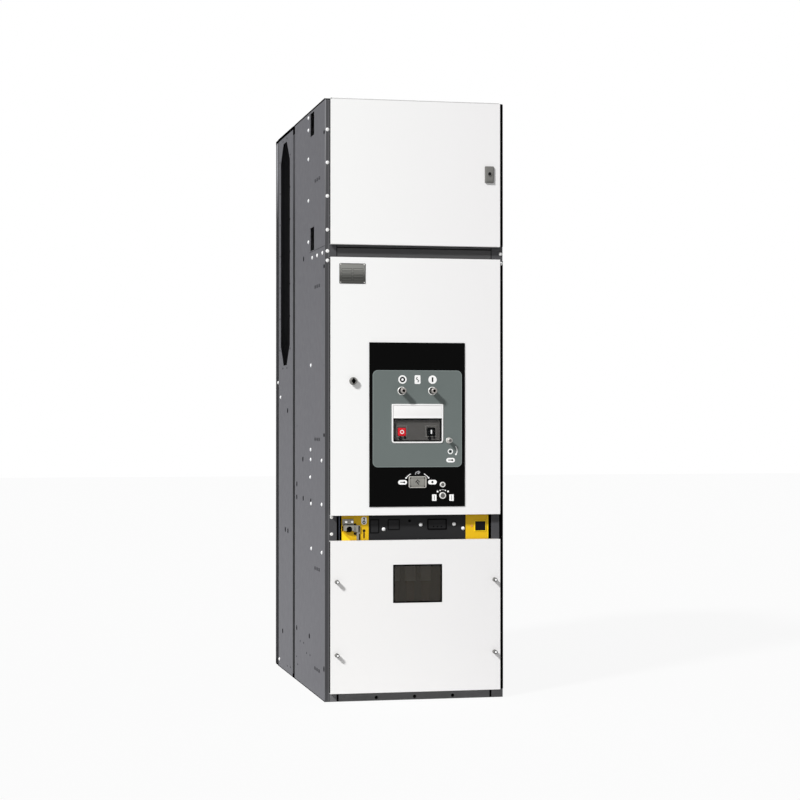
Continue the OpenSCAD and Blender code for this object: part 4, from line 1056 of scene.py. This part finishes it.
PLINTH_T = 2.5
PLINTH_HOLES = ((-150, 12), (0, 12), (150, 12))
FOOT_H = 31
LEFT_FOOT, LEFT_FOOT_W = (-317.5, 16.5), 26
RIGHT_FOOT, RIGHT_FOOT_W = (327, 16.5), 45
PLINTH_GAPS = ((-300.4, 16.5), (300.4, 16.5))
plinth_hole = join(ring(6.4, 5, 0.2), moved(disc(8, 0.5), 0, 0, -PLINTH_T - 0.6))
on_cabinet("plinth_hole_rims", "joint_paint", front(plinth_hole, FRAME_Y, *PLINTH_HOLES), tone="hole_and_shade_black")
on_cabinet("post_feet", "plinth_paint", front(plate(LEFT_FOOT_W, FOOT_H, 1, 0.2), FRAME_Y, LEFT_FOOT),
           front(plate(RIGHT_FOOT_W, FOOT_H, 1, 0.2), FRAME_Y, RIGHT_FOOT))
on_cabinet("plinth_gaps", "joint_paint", front(plate(7.5, 32, 0.5, 0.3), FRAME_Y, *PLINTH_GAPS),
           tone="hole_and_shade_black")


# Edges of posts, doors and beam

# Right post: painted black shadow of the doors beside them
SHADOW_X = 343.5
POST_SHADOWS = ((33, 1690), (1745, 2297))
shadow_strips = [front(plate(15, z1 - z0, 1, 0.8, 0.3), FRAME_Y, (SHADOW_X, (z0 + z1) / 2))
          for z0, z1 in POST_SHADOWS]
on_cabinet("post_edging", "post_paint", *shadow_strips, tone="hole_and_shade_black")

# Left side faces of the doors and of the cover: painted shade, left out at the hinges of the instrument door
DOOR_SIDE_SHADES = {
    "cabinet": (-638.5, 24, (35, 611)),
    "breaker_door": (-642, 16, (711, 1691)),
    "instrument_door": (-642, 16, (1743, 1825.5), (1852.5, 2164.5), (2191.5, 2298)),
}
for body, (y, width, *stretches) in DOOR_SIDE_SHADES.items():
    strips = [scatter(plate(width, z1 - z0, 1, 0.3, 0.1), on_side(DOOR_LEFT, (y, (z0 + z1) / 2)), LEFT)
              for z0, z1 in stretches]
    piece(body, body + "_edging", "white_paint", *strips, tone="door_edge")

# Top edge of the instrument door: a pale line that turns dark at the hinge corner
TOP_LINE = 3
CORNER_LEN = 5
EDGE_GAP = 0.5
lv_high = span("lv_door")[1]
door_w = 2 * lv_high[0] / MM
line_z = lv_high[2] / MM - TOP_LINE / 2 - EDGE_GAP
piece("instrument_door", "instrument_door_top_line", "white_paint",
      front(plate(door_w - 2 * CORNER_LEN, TOP_LINE, 0.5, 0.3, 0.1), DOOR_Y, (0, line_z)), tone="pale_edge")
corner_x = (CORNER_LEN - door_w) / 2 + EDGE_GAP
piece("instrument_door", "instrument_door_corner", "white_paint",
      front(plate(CORNER_LEN, TOP_LINE, 0.5, 0.3, 0.1), DOOR_Y, (corner_x, line_z)), tone="door_edge")

# Beam: joints with the posts, the dark tops of the posts, and the seal behind its open line
BEAM_Z = (1694, 1741)
BEAM_SEAL = (0, 1732)
SEAL_IN = 5.6
rails_high = span("front_rails")[1] / MM
side_x = HALF_W / MM
post_x = (rails_high[0] + side_x) / 2
joint_spots = [(x, sum(BEAM_Z) / 2) for x in (-rails_high[0], rails_high[0])]
top_spots = [(x, rails_high[2] - 2.5) for x in (-post_x, post_x)]
on_cabinet("post_joints", "joint_paint",
           front(plate(3, BEAM_Z[1] - BEAM_Z[0], 0.5, 0.2), FRAME_Y, *joint_spots),
           front(plate(side_x - rails_high[0] - 1, 4, 0.5, 0.25), FRAME_Y, *top_spots), tone="dark_print_and_shade")

# Bend between the left side panel and its post, and the fold of the post: painted highlights where they catch
# the light
BEND_LEN = 2292
BEND_Z = 1150
SIDE_BEND_Y = -619
POST_BEND_X = -348
POST_FOLD_X = -336
side_strip = plate(10, BEND_LEN, 1, 0.2)
post_strip = plate(3.6, BEND_LEN, 0.5, 0.2)
on_cabinet("side_bend", "side_paint", scatter(side_strip, on_side(-HALF_W, (SIDE_BEND_Y, BEND_Z)), LEFT),
           tone="side_bend_highlight")
on_cabinet("post_bend", "post_paint", front(post_strip, FRAME_Y, (POST_BEND_X, BEND_Z)), tone="post_bend_highlight")
on_cabinet("post_fold", "post_paint", front(post_strip, FRAME_Y, (POST_FOLD_X, BEND_Z)), tone="post_fold_highlight")
on_cabinet("beam_seal", "black_plastic", front(plate(606, 14, 1, 3), FRAME_Y + SEAL_IN * MM, BEAM_SEAL),
           tone="black_rubber")


# Roof and rear: rows of fasteners

REAR_CENTRES = (575, 1725)


def frame_row(half_w, half_h, across, up):
    """Spots round a rectangle: evenly spread along its four sides, corners once."""
    x = np.linspace(-half_w, half_w, across)
    z = np.linspace(-half_h, half_h, up)[1:-1]
    return [(a, s * half_h) for a in x for s in (-1, 1)] + [(s * half_w, b) for b in z for s in (-1, 1)]


rear_places = [(x, centre + z) for centre in REAR_CENTRES for x, z in frame_row(325, 550, 4, 8)]
on_cabinet("rear_screws", "zinc", scatter(screw_head(7, 2.4), on_front(REAR_Y, *rear_places), BACK))
roof_spots = [[x * MM, y * MM, ROOF_Z] for x, y in frame_row(335, 600, 5, 9)]
on_cabinet("roof_screws", "zinc", scatter(screw_head(7, 2.0), roof_spots, TOP))


# Floor, light and camera

FLOOR_HALF = 30.0
FLOOR_GREY = (0.6, 0.6, 0.6, 1)
BACKDROP = 0.92
floor_line = np.linspace(-FLOOR_HALF, FLOOR_HALF, 3)
across, deep = np.meshgrid(floor_line, floor_line)
floor_points = np.stack([across, deep, 0 * across], -1).reshape(-1, 3)
cell = np.array([0, 1, 4, 3])
floor_faces = np.concatenate([cell, cell + 1, cell + 3, cell + 4]).reshape(-1, 4)
floor_mesh = bpy.data.meshes.new("floor")
floor_mesh.from_pydata(floor_points.tolist(), [], floor_faces.tolist())
floor = bpy.data.objects.new("floor", floor_mesh)
bpy.context.scene.collection.objects.link(floor)


def seen_rays(tree):
    """One for rays that show the background: from the camera, by gloss or through glass."""
    path = add_node(tree, "LightPath")
    seen = path.outputs["Is Camera Ray"]
    for kind in ("Is Glossy Ray", "Is Transmission Ray"):
        either = add_node(tree, "Math")
        either.operation = "MAXIMUM"
        tree.links.new(seen, either.inputs[0])
        tree.links.new(path.outputs[kind], either.inputs[1])
        seen = either.outputs[0]
    return seen


def floor_finish():
    """Pale floor that takes the shadow, mixed with plain white for the rays that show it."""
    finish = Finish("pale_floor", 0.9, Base_Color=FLOOR_GREY, Specular_IOR_Level=0.1)
    share = finish.node("MapRange", To_Max=BACKDROP)
    mix = finish.node("MixShader")
    finish.link(seen_rays(finish.tree), share.inputs["Value"])
    finish.link(share.outputs["Result"], mix.inputs["Fac"])
    finish.link(finish.shader.outputs[0], mix.inputs[1])
    finish.link(finish.node("Emission").outputs[0], mix.inputs[2])
    finish.link(mix.outputs[0], finish.tree.nodes["Material Output"].inputs["Surface"])


floor_finish()
floor_mesh.materials.append(finishes["pale_floor"])

SKY = 0.3
world = bpy.data.worlds.new("studio")
bpy.context.scene.world = world
world.use_nodes = True
sky = world.node_tree.nodes["Background"]
sky.inputs["Color"].default_value = (1, 1, 1, 1)
level = add_node(world.node_tree, "MapRange", To_Min=SKY, To_Max=1.0)
world.node_tree.links.new(seen_rays(world.node_tree), level.inputs["Value"])
world.node_tree.links.new(level.outputs["Result"], sky.inputs["Strength"])

KEY_LIGHT = 3.6
KEY_ANGLE = math.radians(7)
KEY_WAY = (0.61, 0.51, -0.61)
lamp = bpy.data.lights.new("key_lamp", "SUN")
lamp.energy = KEY_LIGHT
lamp.angle = KEY_ANGLE
key = bpy.data.objects.new("key_lamp", lamp)
bpy.context.scene.collection.objects.link(key)
way = np.array(KEY_WAY) / np.linalg.norm(KEY_WAY)
key.rotation_euler = (math.acos(-way[2]), 0, math.atan2(way[1], way[0]) - math.pi / 2)

CAMERA_SPOT = (-1.6824, -8.1857, 1.0723)
CAMERA_TILT = 0.572
CAMERA_YAW = 12.13
CAMERA_LENS = 90.66
CAMERA_SENSOR = 36
CAMERA_REACH = 200
view = bpy.data.cameras.new("camera")
view.sensor_width = CAMERA_SENSOR
view.lens = CAMERA_LENS
view.clip_end = CAMERA_REACH
camera = bpy.data.objects.new("camera", view)
camera.location = CAMERA_SPOT
camera.rotation_euler = (math.radians(90 + CAMERA_TILT), 0, math.radians(-CAMERA_YAW))
bpy.context.scene.collection.objects.link(camera)
bpy.context.scene.camera = camera
bpy.context.scene.view_settings.view_transform = "Standard"
